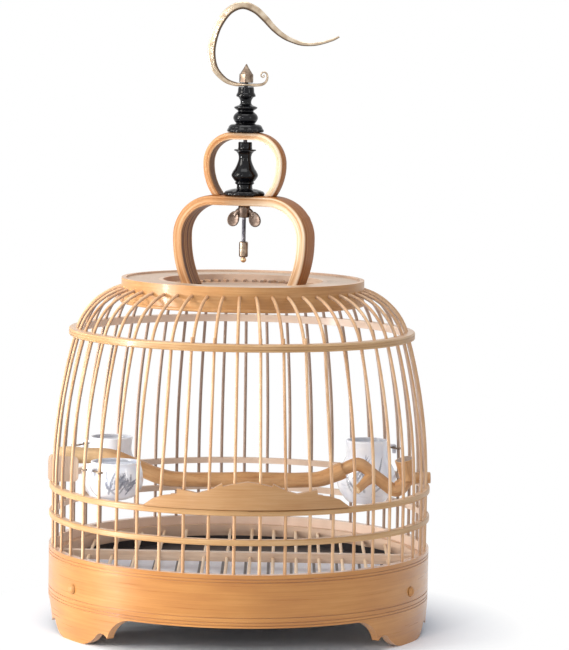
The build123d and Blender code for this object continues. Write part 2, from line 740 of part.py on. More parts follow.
def cup_wire(bearing):
    """Brass wire across one gap, with each end bent round a bar."""
    bars_r = wire_r + clip_r
    path = Curve() + [
        CenterArc((-wire_reach, -bars_r), clip_r, 90, wire_hook_angle),
        Line((-wire_reach, -wire_r), (wire_reach, -wire_r)),
        CenterArc((wire_reach, -bars_r), clip_r, 90 - wire_hook_angle, wire_hook_angle)]
    bend = radians(90 + wire_hook_angle)
    end = (-wire_reach + clip_r * cos(bend), -bars_r + clip_r * sin(bend))
    section = Plane(end, z_dir=(-sin(bend), cos(bend), 0)) * Circle(wire_d / 2)
    return at_bearing(bearing, Pos(0, 0, wire_z) * sweep(section, path=path))


def cup(gap, foot_z, height, diameter, outer_shares):
    """Glazed cup with an ear that hooks over its wire."""
    radius = diameter / 2
    outer = [(radius * r, foot_z + height * z) for r, z in outer_shares]
    centre_r = wire_r - gap - outer[-1][0]
    floor_z = foot_z + 1.5 * cup_wall
    inner = [(r - cup_wall, max(z, floor_z)) for r, z in outer[1:]]
    inner[0] = (outer[0][0] - cup_wall, floor_z)
    edges = [Line((0, foot_z), outer[0]), Spline(*outer), Line(outer[-1], inner[-1]),
             Spline(*reversed(inner)), Line(inner[0], (0, floor_z)), Line((0, floor_z), (0, foot_z))]
    body = Pos(0, -centre_r, 0) * revolve(Plane.XZ * make_face(Curve() + edges), axis=Axis.Z)
    rim_r = centre_r + outer[-1][0] - cup_wall / 2
    lip_r = wire_r + wire_d / 2 + seat_gap + ear_thickness
    bridge_z = wire_z + wire_d / 2 + seat_gap
    bridge = Pos(0, -rim_r, bridge_z) * Box(ear_width, lip_r - rim_r, ear_thickness,
                                            align=(Align.CENTER, Align.MAX, Align.MIN))
    lip = Pos(0, -(lip_r - ear_thickness), wire_z - ear_drop) * Box(
        ear_width, ear_thickness, bridge_z + ear_thickness - wire_z + ear_drop,
        align=(Align.CENTER, Align.MAX, Align.MIN))
    return body + bridge + lip


bowl_shares = ((0.5, 0), (0.78, 0.12), (0.97, 0.34), (1, 0.52), (0.96, 0.78), (0.9, 1))
jar_shares = ((0.62, 0), (0.8, 0.1), (0.96, 0.24), (1, 0.36), (0.95, 0.5), (0.84, 0.6),
              (0.73, 0.7), (0.695, 0.8), (0.7, 0.9), (0.717, 1))
cup_kinds = {"bowl": (bowl_gap, bowl_z, bowl_height, bowl_d, bowl_shares),
             "jar": (jar_gap, jar_z, jar_height, jar_d, jar_shares)}
# Each cup's own bearing, and that of the middle of the gap that its wire crosses
cup_places = (("cup_front_left", "bowl", -53.5, -7), ("cup_back_left", "jar", -121.5, -16),
              ("cup_back_right", "jar", 118.5, 16))
for name, kind, bearing, _ in cup_places:
    write(at_bearing(bearing, cup(*cup_kinds[kind])), name)
write([cup_wire(gap * pitch).solid() for _, _, _, gap in cup_places], "cup_wires")
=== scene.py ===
from math import asin, ceil, cos, exp, hypot, pi, radians, sin, sqrt, tan

import bpy
import numpy as np
from mathutils import Matrix, Vector, noise


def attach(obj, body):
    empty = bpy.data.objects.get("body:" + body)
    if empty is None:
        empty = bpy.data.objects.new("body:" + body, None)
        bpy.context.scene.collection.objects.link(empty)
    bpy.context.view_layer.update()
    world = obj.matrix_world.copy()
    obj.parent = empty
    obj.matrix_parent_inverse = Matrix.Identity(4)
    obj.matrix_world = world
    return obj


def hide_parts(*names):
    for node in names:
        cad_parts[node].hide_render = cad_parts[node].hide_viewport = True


# Bamboo bird cage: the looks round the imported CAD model. Lengths are in millimetres, apart from
# those of the lights and textures, and turn into metres where a mesh or the camera is made.
MM = 0.001
DISC_TOP = 294.4  # where the handle's feet stand
LOWER_TOP, LOWER_THICKNESS = 373.5, 8.5  # lower arch of the handle
UPPER_TOP, UPPER_THICKNESS = 428, 6.5  # upper arch
BALUSTER_R, BALUSTER_HEIGHT = 18.1, 46
FINIAL_R, FINIAL_HEIGHT = 16.4, 38.7
SEAT_GAP = 0.3  # between pieces that rest on each other
HOOP_R, BARS = 160, 48  # round the cage
HEADING = radians(3.15)  # of the camera, from straight at the back
FLOOR_TURN = HOOK_TURN = -HEADING  # the floor frame and the hook face the camera
HANDLE_TURN = radians(-22)

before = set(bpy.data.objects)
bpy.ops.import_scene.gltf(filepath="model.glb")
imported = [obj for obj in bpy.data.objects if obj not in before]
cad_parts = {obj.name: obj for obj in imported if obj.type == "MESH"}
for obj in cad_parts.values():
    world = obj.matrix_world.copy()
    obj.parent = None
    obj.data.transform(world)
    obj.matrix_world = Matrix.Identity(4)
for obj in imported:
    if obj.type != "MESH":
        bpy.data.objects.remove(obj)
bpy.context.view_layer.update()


def put(name, data):
    """New object in the scene."""
    thing = bpy.data.objects.new(name, data)
    bpy.context.scene.collection.objects.link(thing)
    return thing


# Camera, at the place and angle that the photograph was taken from
def aim(place, heading, pitch, roll):
    """Camera matrix: heading clockwise from +Y seen from above, pitch downwards."""
    forward = Vector((sin(heading) * cos(pitch), cos(heading) * cos(pitch), -sin(pitch)))
    level = Vector((cos(heading), -sin(heading), 0))
    up = level.cross(forward)
    right = level * cos(roll) + up * sin(roll)
    up = up * cos(roll) - level * sin(roll)
    turn = Matrix((right, up, -forward)).transposed().to_4x4()
    return Matrix.Translation(Vector(place) * MM) @ turn


CAMERA_PLACE, PITCH, ROLL = (-106, -2590.1, 493.8), radians(5.11), radians(0.99)
lens = bpy.data.cameras.new("camera")
lens.lens = 166.65
lens.sensor_width = 36
lens.clip_end = 60
camera = put("camera", lens)
camera.matrix_world = aim(CAMERA_PLACE, HEADING, PITCH, ROLL)
bpy.context.scene.camera = camera


# Node helpers
def set_inputs(tree, node, **inputs):
    """Links or values for a node's inputs. One named i0, i1 ... is taken by its place, any
    other by its name."""
    for key, value in inputs.items():
        by_place = key[0] == "i" and key[1:].isdigit()
        socket = node.inputs[int(key[1:]) if by_place else key.replace("_", " ")]
        if isinstance(value, bpy.types.NodeSocket):
            tree.links.new(value, socket)
        else:
            socket.default_value = value


def add(tree, kind, settings=None, **inputs):
    """Shader node with its settings and inputs."""
    node = tree.nodes.new("ShaderNode" + kind)
    for key, value in (settings or {}).items():
        setattr(node, key, value)
    set_inputs(tree, node, **inputs)
    return node


def calc(tree, operation, *values):
    """Result of a Math node."""
    inputs = {f"i{place}": value for place, value in enumerate(values)}
    return add(tree, "Math", {"operation": operation}, **inputs).outputs[0]


def plus(tree, value, other, share):
    """Value plus another value times a share."""
    return calc(tree, "ADD", value, calc(tree, "MULTIPLY", other, share))


def colour(red, green, blue):
    """Linear colour from the usual 0 to 255 values."""
    def linear(value):
        value /= 255
        return value / 12.92 if value <= 0.04045 else ((value + 0.055) / 1.055) ** 2.4
    return (linear(red), linear(green), linear(blue), 1)


def ramp(tree, factor, stops):
    """Colour ramp with stops of (place, colour from 0 to 255)."""
    node = add(tree, "ValToRGB", Fac=factor)
    elements = node.color_ramp.elements
    stops = list(stops)
    while len(elements) < len(stops):
        elements.new(0.5)
    for element, (place, value) in zip(elements, stops):
        element.position = place
        element.color = colour(*value)
    return node.outputs["Color"]


def remap(tree, value, low, high, to_low=0.0, to_high=1.0):
    """Map Range node, clamped."""
    return add(tree, "MapRange", Value=value, From_Min=low, From_Max=high, To_Min=to_low,
               To_Max=to_high).outputs["Result"]


def mix(tree, factor, first, second, mode="MIX"):
    """Mix of two colours."""
    node = add(tree, "Mix", {"data_type": "RGBA", "blend_type": mode}, i0=factor, i6=first,
               i7=second)
    return node.outputs[2]


def fade(tree, value, low, high, first, second, share=1.0):
    """First colour where a value is low, turning to a share of the second where it is high."""
    return mix(tree, remap(tree, value, low, high, 0.0, share), first, second)


def darken(tree, base, factor):
    """Colour times a grey value."""
    grey = add(tree, "CombineColor", Red=factor, Green=factor, Blue=factor).outputs[0]
    return mix(tree, 1.0, base, grey, "MULTIPLY")


def clouds(tree, vector, detail, rough, scale=1.0):
    """Noise value."""
    return add(tree, "TexNoise", Vector=vector, Scale=scale, Detail=detail,
               Roughness=rough).outputs["Fac"]


def surface(name):
    """Empty material: its tree and its shader."""
    material = bpy.data.materials.new(name)
    material.use_nodes = True
    tree = material.node_tree
    tree.nodes.clear()
    shader = add(tree, "BsdfPrincipled")
    out = add(tree, "OutputMaterial")
    tree.links.new(shader.outputs["BSDF"], out.inputs["Surface"])
    return material, tree, shader


def bump(tree, height, distance, strength):
    """Bump normal, its depth in millimetres."""
    return add(tree, "Bump", Strength=strength, Distance=distance * MM,
               Height=height).outputs["Normal"]


def scaled(tree, vector, x, y, z):
    """Vector times a size on each axis."""
    return add(tree, "VectorMath", {"operation": "MULTIPLY"}, i0=vector, i1=(x, y, z)).outputs[0]


def fibres(tree, vector, along, across, detail=3.0, rough=0.6):
    """Noise drawn out along the grain, from its scale per metre along it and across it."""
    return clouds(tree, scaled(tree, vector, along, across, across), detail, rough)


def object_place(tree):
    """Place on the object: vector, x, y and z."""
    place = add(tree, "TexCoord").outputs["Object"]
    split = add(tree, "SeparateXYZ", Vector=place)
    return place, split.outputs["X"], split.outputs["Y"], split.outputs["Z"]


def mesh_value(tree, name, output="Fac"):
    """Value that a mesh holds at its points."""
    return add(tree, "Attribute", {"attribute_name": name}).outputs[output]


def off_axis(tree, x, y):
    """Distance from the cage's axis."""
    return calc(tree, "SQRT", plus(tree, calc(tree, "MULTIPLY", x, x), y, y))


def round_angle(tree, x, y):
    """Angle round the cage's axis, with its seam at the back."""
    return calc(tree, "ARCTAN2", x, calc(tree, "MULTIPLY", y, -1.0))


def inward(tree):
    """1 where a surface faces the cage's axis, 0 where it faces away."""
    coordinates = add(tree, "TexCoord")
    flat = scaled(tree, coordinates.outputs["Object"], 1, 1, 0)
    unit = add(tree, "VectorMath", {"operation": "NORMALIZE"}, i0=flat).outputs[0]
    dot = add(tree, "VectorMath", {"operation": "DOT_PRODUCT"}, i0=unit,
              i1=coordinates.outputs["Normal"]).outputs["Value"]
    return remap(tree, dot, 0.35, -0.35)


def seen_rays(tree):
    """1 for the rays that show the backdrop: the camera's own, mirrored and let through."""
    rays = add(tree, "LightPath").outputs
    return calc(tree, "MAXIMUM", rays["Is Camera Ray"],
                calc(tree, "MAXIMUM", rays["Is Glossy Ray"], rays["Is Transmission Ray"]))


# Grains: vectors in metres whose first part runs along the fibres
def grain_round(tree):
    """Fibres round a hoop."""
    _, x, y, z = object_place(tree)
    along = calc(tree, "MULTIPLY", round_angle(tree, x, y), HOOP_R * MM)
    return add(tree, "CombineXYZ", X=along, Y=z, Z=off_axis(tree, x, y)).outputs[0]


def grain_up(tree):
    """Upright fibres."""
    _, x, y, z = object_place(tree)
    return add(tree, "CombineXYZ", X=z, Y=x, Z=y).outputs[0]


def grain_along(tree):
    """Fibres along the floor's crossbeam."""
    return object_place(tree)[0]


def grain_across(tree):
    """Fibres along the floor's rods."""
    _, x, y, z = object_place(tree)
    return add(tree, "CombineXYZ", X=y, Y=x, Z=z).outputs[0]


# Bamboo tones, each as dark, middle and pale, from 0 to 255
HOOP_TONES = (170, 107, 50), (186, 125, 60), (201, 142, 76)
CROWN_TONES = (166, 114, 66), (187, 136, 83), (202, 156, 105)
RING_TONES = (174, 128, 78), (190, 148, 99), (216, 180, 136)
BAR_TONES = (186, 140, 98), (208, 164, 121), (232, 198, 158)
BOARD_TONES = (165, 117, 71), (179, 135, 89), (193, 154, 113)
TOP_TONES = (190, 152, 112), (188, 159, 132), (214, 190, 163)
BEAM_TONES = (198, 168, 142), (214, 188, 164), (232, 210, 188)
ROD_TONES = (214, 170, 124), (236, 208, 172), (250, 234, 212)
PEG_TONES = (160, 106, 56), (186, 130, 74), (206, 156, 98)
# Pale tone for the side facing the cage's axis: partly the pith's own tone, partly painted light on
# the shaded inside of the cage
PITH_AND_PAINTED_LIGHT = colour(246, 224, 206)


def bamboo(name, tones, grain, fibre=1.0, inward_pith_and_painted_light=None, gloss=0.36, coat=0.08, per_bar=0.0,
           lines=0.92):
    """Split bamboo. grain gives its fibres' vector, and fibre makes them finer. The inward tint is
    how much of another colour the side facing the cage's axis takes, and the colour: painted light
    and shade there, partly the pith's own tone. per_bar is how far the tone differs from bar to
    bar, and lines is how dark the finest fibres are."""
    material, tree, shader = surface(name)
    vector = grain(tree)
    streaks = fibres(tree, vector, 14, 620 * fibre, 5.0, 0.62)
    fine = fibres(tree, vector, 45, 2300 * fibre)
    mottle = fibres(tree, vector, 20, 75, 3.0, 0.5)
    tone = plus(tree, calc(tree, "MULTIPLY", streaks, 0.55), mottle, 0.45)
    if per_bar:
        _, x, y, _ = object_place(tree)
        bar = calc(tree, "FLOOR", calc(tree, "MULTIPLY", round_angle(tree, x, y), BARS / (2 * pi)))
        shift = add(tree, "TexWhiteNoise", {"noise_dimensions": "1D"}, W=bar).outputs["Value"]
        tone = plus(tree, tone, calc(tree, "SUBTRACT", shift, 0.5), per_bar)
    base = ramp(tree, tone, zip((0.3, 0.5, 0.72), tones))
    base = darken(tree, base, remap(tree, fine, 0.3, 0.52, lines, 1.0))
    if inward_pith_and_painted_light:
        factor, tint = inward_pith_and_painted_light
        # Painted light and shade: the side facing the cage's axis takes the inward tint
        base = mix(tree, calc(tree, "MULTIPLY", inward(tree), factor), base, tint)
    set_inputs(tree, shader, Base_Color=base, Specular_IOR_Level=0.32, Coat_Weight=coat,
               Coat_Roughness=0.12,
               Roughness=remap(tree, streaks, 0.3, 0.7, gloss - 0.07, gloss + 0.1),
               Normal=bump(tree, plus(tree, fine, streaks, 1.5), 0.1, 0.5))
    return material


hoop_skin = bamboo("hoop_bamboo", HOOP_TONES, grain_round, inward_pith_and_painted_light=(0.85, PITH_AND_PAINTED_LIGHT), gloss=0.32,
                   coat=0.5, lines=0.95)
ring_skin = bamboo("ring_bamboo", RING_TONES, grain_round, fibre=1.4, inward_pith_and_painted_light=(0.7, PITH_AND_PAINTED_LIGHT))
crown_skin = bamboo("crown_bamboo", CROWN_TONES, grain_round, inward_pith_and_painted_light=(0.6, PITH_AND_PAINTED_LIGHT))
top_skin = bamboo("top_bamboo", TOP_TONES, grain_round)
# Bars: a greyer brown on their side facing the cage's axis, as painted shade
bar_skin = bamboo("bar_bamboo", BAR_TONES, grain_up, fibre=1.2,
                  inward_pith_and_painted_light=(0.8, colour(158, 140, 130)), per_bar=0.2, lines=0.9)
door_skin = bamboo("door_bamboo", BAR_TONES, grain_up, fibre=1.2, inward_pith_and_painted_light=(0.6, PITH_AND_PAINTED_LIGHT),
                   per_bar=0.2, lines=0.9)
board_skin = bamboo("board_bamboo", BOARD_TONES, grain_round, gloss=0.42)
beam_skin = bamboo("beam_bamboo", BEAM_TONES, grain_along)
rod_skin = bamboo("rod_bamboo", ROD_TONES, grain_across, lines=0.84)
peg_skin = bamboo("peg_bamboo", PEG_TONES, grain_up, gloss=0.38, lines=0.84)
rest_skin = bamboo("rest_bamboo", BEAM_TONES, grain_up, gloss=0.42)


def arch_material():
    """Bent strip: amber skin outside; cut sides warm on the left with a painted highlight on the
    right, and painted shadow near the lower arch's top middle; dark brown inside, partly painted
    shade.
    """
    material, tree, shader = surface("arch_bamboo")
    vector, skin = mesh_value(tree, "grain", "Vector"), mesh_value(tree, "skin")
    streaks = fibres(tree, vector, 10, 500, 5.0, 0.62)
    fine = fibres(tree, vector, 30, 1900)
    # pale is the painted highlight of the right cut sides; inner's dark brown is partly painted
    # shade
    outer, pale, warm, inner = [ramp(tree, streaks, zip(places, tones)) for places, tones in (
        ((0.32, 0.48, 0.66), ((124, 68, 32), (162, 100, 50), (188, 130, 78))),
        ((0.34, 0.46, 0.62), ((190, 142, 100), (224, 186, 146), (246, 224, 196))),
        ((0.34, 0.48, 0.66), ((156, 100, 56), (192, 140, 94), (216, 178, 138))),
        ((0.38, 0.5, 0.66), ((84, 48, 22), (140, 90, 48), (198, 150, 98))))]
    _, x, _, z = object_place(tree)
    # Painted light: the cut sides turn from warm on the left to the pale painted highlight on the
    # right
    side = fade(tree, x, -20 * MM, 20 * MM, warm, pale)
    # Painted shadow: the lower arch's cut sides darken near its top middle, under the baluster's
    # flange
    crown = remap(tree, calc(tree, "ABSOLUTE", x), 10 * MM, 30 * MM, 0.64, 1.0)
    upper = remap(tree, z, (LOWER_TOP + 4) * MM, (LOWER_TOP + 8) * MM)
    side = darken(tree, side, calc(tree, "MAXIMUM", crown, upper))
    base = fade(tree, skin, 0.25, 0.75, side, outer)
    base = fade(tree, skin, -0.25, -0.75, base, inner)
    base = darken(tree, base, remap(tree, fine, 0.3, 0.5, 0.84, 1.0))
    set_inputs(tree, shader, Base_Color=base, Specular_IOR_Level=0.08,
               Roughness=remap(tree, streaks, 0.3, 0.7, 0.34, 0.5),
               Normal=bump(tree, plus(tree, fine, streaks, 1.5), 0.15, 0.5))
    return material


def metal_material(name, dark, mid, bright, rough, scratch=1.0, inner=None, foot=None):
    """Old metal with darker blotches and fine scratches. It is tinted inner where the mesh
    says skin 0, which paints shade along that edge, and foot below a height."""
    material, tree, shader = surface(name)
    place, _, _, z = object_place(tree)
    blotch = clouds(tree, place, 1 + 4 * scratch, 0.6, 160.0)
    scratches = clouds(tree, scaled(tree, place, 900, 900, 2600), 2.0, 0.6)
    base = ramp(tree, blotch, [(0.28, dark), (0.5, mid), (0.72, bright)])
    if inner:
        # Painted shade: the inner tint darkens the edge where the mesh says skin 0
        base = fade(tree, mesh_value(tree, "skin"), 0.1, 0.3, inner, base)
    if foot:
        height, tint = foot
        base = fade(tree, z, height, height + MM, tint, base)
    roughness = plus(tree, remap(tree, blotch, 0.3, 0.7, rough + 0.14, rough), scratches,
                     0.08 * scratch)
    set_inputs(tree, shader, Base_Color=base, Metallic=1.0, Roughness=roughness,
               Normal=bump(tree, calc(tree, "ADD", scratches, blotch), 0.04 * scratch, 0.5))
    return material


def lacquer_material():
    """Black lacquer over turned wood, with faint turning lines and dust."""
    material, tree, shader = surface("black_lacquer")
    place, _, _, z = object_place(tree)
    dust = clouds(tree, place, 4.0, 0.6, 240.0)
    rings = clouds(tree, add(tree, "CombineXYZ", X=z, Y=z, Z=z).outputs[0], 3.0, 0.5, 1400.0)
    base = ramp(tree, dust, [(0.42, (4, 4, 6)), (0.8, (16, 17, 22))])
    set_inputs(tree, shader, Base_Color=base, Specular_IOR_Level=0.12, Coat_Weight=0.3,
               Coat_Roughness=0.05, Roughness=remap(tree, dust, 0.3, 0.8, 0.1, 0.26),
               Normal=bump(tree, plus(tree, rings, dust, 0.7), 0.05, 0.4))
    return material


def glaze_material():
    """White porcelain with an ink wash under the glaze. The same wash paints the shade just inside
    a cup's rim.
    """
    material, tree, shader = surface("glazed_porcelain")
    place, _, _, _ = object_place(tree)
    ink = mesh_value(tree, "ink")
    cloud = clouds(tree, place, 4.0, 0.55, 60.0)
    glaze = ramp(tree, cloud, [(0.3, (238, 243, 254)), (0.7, (252, 253, 255))])
    wash = ramp(tree, cloud, [(0.3, (84, 96, 124)), (0.7, (52, 58, 76))])
    body = mix(tree, ink, glaze, wash)
    specks = clouds(tree, place, 2.0, 0.5, 900.0)
    body = fade(tree, specks, 0.74, 0.8, body, colour(176, 160, 140), 0.35)
    set_inputs(tree, shader, Base_Color=body, Coat_Weight=0.7, Coat_Roughness=0.04,
               Roughness=remap(tree, cloud, 0.2, 0.8, 0.16, 0.3),
               Normal=bump(tree, cloud, 0.3, 0.25))
    return material


def tray_material(name, low, high, painted_rod_shadows=None):
    """Droppings tray or its liner, a little scuffed, with seed dust. Its last argument gives the
    turn, pitch, shift and width of dark lines painted on a liner as the floor rods' shadows."""
    material, tree, shader = surface(name)
    place, _, _, _ = object_place(tree)
    scuffs = clouds(tree, scaled(tree, place, 60, 420, 60), 4.0, 0.6)
    dust = clouds(tree, place, 3.0, 0.6, 900.0)
    base = ramp(tree, scuffs, [(0.3, low), (0.7, high)])
    base = fade(tree, dust, 0.66, 0.76, base, colour(150, 136, 116), 0.25)
    if painted_rod_shadows:
        turn, pitch, shift, width = painted_rod_shadows
        along = add(tree, "VectorMath", {"operation": "DOT_PRODUCT"}, i0=place,
                    i1=(cos(turn), sin(turn), 0)).outputs["Value"]
        off = calc(tree, "PINGPONG", calc(tree, "SUBTRACT", along, shift * MM), pitch / 2 * MM)
        # Painted shadow: dark lines where the floor rods' shadows fall on the liner
        base = fade(tree, off, width / 2 * MM, width * 0.65 * MM, colour(58, 50, 54), base)
    set_inputs(tree, shader, Base_Color=base,
               Roughness=remap(tree, scuffs, 0.3, 0.7, 0.3, 0.5),
               Normal=bump(tree, scuffs, 0.15, 0.4))
    return material


def branch_material():
    """Smooth barked branch with darker streaks. The mesh says skin 1 on the bark, 0.5 on a
    fresh cut and 0 on an old one."""
    material, tree, shader = surface("branch_bark")
    vector, cut = mesh_value(tree, "grain", "Vector"), mesh_value(tree, "skin")
    streaks = fibres(tree, vector, 26, 260, 6.0, 0.65)
    pores = fibres(tree, vector, 260, 900)
    patches = fibres(tree, vector, 18, 60, 3.0, 0.5)
    tone = plus(tree, calc(tree, "MULTIPLY", streaks, 0.6), patches, 0.4)
    bark = ramp(tree, tone, [(0.32, (158, 106, 62)), (0.46, (193, 144, 94)),
                             (0.62, (208, 164, 116)), (0.75, (226, 192, 152))])
    pale = ramp(tree, pores, [(0.3, (186, 146, 104)), (0.7, (240, 214, 172))])
    sawn = ramp(tree, pores, [(0.3, (112, 92, 80)), (0.7, (168, 146, 130))])
    end = fade(tree, cut, 0.0, 0.5, sawn, pale)
    _, x, _, _ = object_place(tree)
    bark = fade(tree, x, -100 * MM, -140 * MM, bark, colour(240, 212, 164), 0.6)
    base = fade(tree, cut, 0.5, 1.0, end, bark)
    base = darken(tree, base, remap(tree, pores, 0.3, 0.42, 0.8, 1.0))
    set_inputs(tree, shader, Base_Color=base, Coat_Weight=0.1, Coat_Roughness=0.3,
               Roughness=remap(tree, streaks, 0.3, 0.7, 0.42, 0.6),
               Normal=bump(tree, plus(tree, pores, streaks, 2.0), 0.35, 0.6))
    return material


arch_skin = arch_material()
lacquer = lacquer_material()
glaze = glaze_material()
# Painted shade: the tray is dark all over, so that behind the liner it reads as deep shade
tray_dark_painted_shade = tray_material("tray_dark_painted_shade", (38, 36, 38), (58, 55, 57))
ROD_SHADOW_PITCH, ROD_SHADOW_SHIFT, ROD_SHADOW_WIDTH = 20, 6, 2.2  # of the floor rods' shadows painted on the liner as dark lines
liner_finish = tray_material("liner_finish", (222, 228, 244), (242, 246, 255),
                             (FLOOR_TURN, ROD_SHADOW_PITCH, ROD_SHADOW_SHIFT, ROD_SHADOW_WIDTH))
bark = branch_material()
brass = metal_material("antique_brass", (86, 70, 58), (132, 114, 99), (178, 162, 142), 0.3,
                       scratch=0.4)
# The hook's inner tint is painted shade along the inner edge of its bow
hook_brass = metal_material("hook_brass", (166, 146, 124), (200, 180, 155), (222, 206, 184), 0.24,
                            scratch=0.02, inner=colour(92, 74, 58))
bronze = metal_material("worn_bronze", (62, 50, 43), (110, 94, 84), (155, 141, 130), 0.34,
                        scratch=0.5)
BALL_TOP = 321  # of the small ball on the rod's foot
steel = metal_material("dark_steel", (44, 42, 46), (86, 84, 90), (152, 148, 150), 0.36,
                       foot=(BALL_TOP * MM, colour(214, 186, 150)))

# CAD nodes that keep their own shape, by material
carried = (
    (hoop_skin, "base_hoop base_feet"), (crown_skin, "floor_hoop skirt_hoop top_disc"),
    (ring_skin, "lower_ring upper_ring waist_ring inner_hoop"), (top_skin, "top_board"),
    (bar_skin, "full_bars door_stubs door_guides dome_bars"), (door_skin, "door_bars"),
    (board_skin, "door_board"), (beam_skin, "floor_crossbeam"), (rod_skin, "floor_rods"),
    (peg_skin, "peg_front_left peg_front_right peg_back"), (rest_skin, "perch_rest"),
    (tray_dark_painted_shade, "tray"), (brass, "ferrule cup_wires"), (steel, "rod"))
for material, nodes in carried:
    for node in nodes.split():
        for material_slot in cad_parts[node].material_slots:
            material_slot.material = material


# Mesh helpers
def make(name, points, faces, material, body, nodes=(), grain=None, skin=None, ink=None):
    """Piece made of points in millimetres, riding on a body. grain, skin and ink are what the
    mesh tells its material at each point."""
    mesh = bpy.data.meshes.new(name)
    mesh.from_pydata([Vector(p) * MM for p in points], [], faces)
    mesh.validate()
    for label, values in (("grain", grain), ("skin", skin), ("ink", ink)):
        if values is not None:
            vector = label == "grain"
            attribute = mesh.attributes.new(label, "FLOAT_VECTOR" if vector else "FLOAT", "POINT")
            numbers = np.array(values, np.float32).reshape(-1) * (MM if vector else 1)
            attribute.data.foreach_set("vector" if vector else "value", numbers)
    mesh.shade_smooth()
    mesh.materials.append(material)
    piece = put(name, mesh)
    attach(piece, body)
    if nodes:
        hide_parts(*nodes)
    return piece


def tube_faces(total, count, first=0):
    """Faces of a capped tube whose total points, in rings of count, start at point first."""
    faces = []
    for low in range(first, first + total - count, count):
        for k in range(count):
            nxt = (k + 1) % count
            faces.append((low + k, low + nxt, low + count + nxt, low + count + k))
    faces.append(tuple(reversed(range(first, first + count))))
    faces.append(tuple(range(first + total - count, first + total)))
    return faces


def ring_angles(steps):
    """Angles of equal steps round a ring."""
    return [2 * pi * k / steps for k in range(steps)]


def lathe(name, profile, material, body, nodes, swell, steps=96):
    """Turned piece. profile is (radius, height) from the bottom up, and swell(r, z, angle)
    gives the true radius."""
    points = []
    for r, z in profile:
        for angle in ring_angles(steps):
            radius = swell(r, z, angle)
            points.append((radius * cos(angle), radius * sin(angle), z))
    return make(name, points, tube_faces(len(points), steps), material, body, nodes)


def smooth_line(points, step):
    """Catmull-Rom curve through rows of numbers, about one sample for each step of length, on
    which the first three numbers of a row count."""
    rows = [np.array(p, float) for p in points]
    rows = [2 * rows[0] - rows[1], *rows, 2 * rows[-1] - rows[-2]]
    out = []
    for a, b, c, d in zip(rows, rows[1:], rows[2:], rows[3:]):
        count = max(2, ceil(np.linalg.norm((c - b)[:3]) / step))
        for k in range(count):
            t = k / count
            out.append(0.5 * (2 * b + (c - a) * t + (2 * a - 5 * b + 4 * c - d) * t * t
                              + (3 * b - a - 3 * c + d) * t ** 3))
    out.append(rows[-2])
    return out


def span_at(line, k):
    """Way from the point before a line's point k to the point after it."""
    return line[min(k + 1, len(line) - 1)] - line[max(k - 1, 0)]


def turned(x, y, angle):
    """Pair of lengths turned by an angle."""
    return x * cos(angle) - y * sin(angle), x * sin(angle) + y * cos(angle)


def turn_z(point, angle):
    """Point turned about the axis."""
    x, y, z = point
    return (*turned(x, y, angle), z)


# Handle
LOWER_ARCH = {"top": LOWER_TOP, "half_span": 61, "foot_half_span": 52, "wide_z": 335,
              "foot_z": DISC_TOP, "corner": 36, "thickness": LOWER_THICKNESS}
UPPER_ARCH = {"top": UPPER_TOP, "half_span": 36.5, "foot_half_span": 28.2, "wide_z": 400,
              "foot_z": LOWER_TOP, "corner": 27, "thickness": UPPER_THICKNESS}
LEG_STEPS, CORNER_STEPS, CROWN_STEPS = 24, 36, 12
EDGE_R, INNER_EDGE_R = 2.4, 0.8  # of the strip's outer and inner edges
RING_RISE, RING_REACH = 0.35, 1.4  # of the ring at a node of the bamboo


def arch_line(top, half_span, foot_half_span, wide_z, foot_z, corner, thickness):
    """Outer face's line from the right foot to the left, as (x, z, outward x, outward z). It
    starts as low as the inner face needs to reach the foot's level."""
    drop, draw_in = wide_z - foot_z, half_span - foot_half_span
    leg_r = (drop ** 2 + draw_in ** 2) / (2 * draw_in)
    lean = asin(drop / (leg_r - thickness))
    line = []
    for k in range(LEG_STEPS + 1):
        angle = -lean + lean * k / LEG_STEPS
        line.append((half_span - leg_r + leg_r * cos(angle), wide_z + leg_r * sin(angle),
                     cos(angle), sin(angle)))
    corner_x, corner_z = half_span - corner, top - corner
    for k in range(CORNER_STEPS + 1):
        angle = pi / 2 * k / CORNER_STEPS
        line.append((corner_x + corner * cos(angle), corner_z + corner * sin(angle),
                     cos(angle), sin(angle)))
    least_step = 0.05
    line = [p for p, q in zip(line, line[1:] + [None])
            if q is None or hypot(p[0] - q[0], p[1] - q[1]) > least_step]
    for k in range(1, CROWN_STEPS + 1):
        line.append((corner_x * (1 - k / CROWN_STEPS), top, 0, 1))
    return line + [(-x, z, -nx, nz) for x, z, nx, nz in reversed(line[:-1])]


def strip_profile(thickness, width):
    """Cross section of the strip as (inset, across, skin): round outside, crisper inside."""
    half, crown, bulge, hollow, margin = width / 2, 0.25, 0.12, 0.15, 0.9
    outer, side, inner = [], [], []
    for k in range(13):
        share = -1 + k / 6
        outer.append((crown * share * share, share * (half - EDGE_R), 1.0))
    for k in range(1, 6):
        angle = pi / 2 * k / 5
        side.append((crown + EDGE_R * (1 - cos(angle)) * 0.95,
                     half - EDGE_R + EDGE_R * sin(angle), 1.0 - k / 4))
    side += [(thickness * share, half + bulge, 0.0) for share in (0.45, 0.6, 0.8)]
    for k in range(4):
        angle = pi / 2 * k / 3
        side.append((thickness - INNER_EDGE_R + INNER_EDGE_R * sin(angle),
                     half - INNER_EDGE_R + INNER_EDGE_R * cos(angle), 0.0))
    for k in range(11):
        share = 1 - 2 * (k + 0.5) / 11
        inner.append((thickness - hollow * share * share, share * (half - margin), -1.0))
    other_side = [(inset, -across, skin) for inset, across, skin in reversed(side)]
    return outer + side + inner + other_side


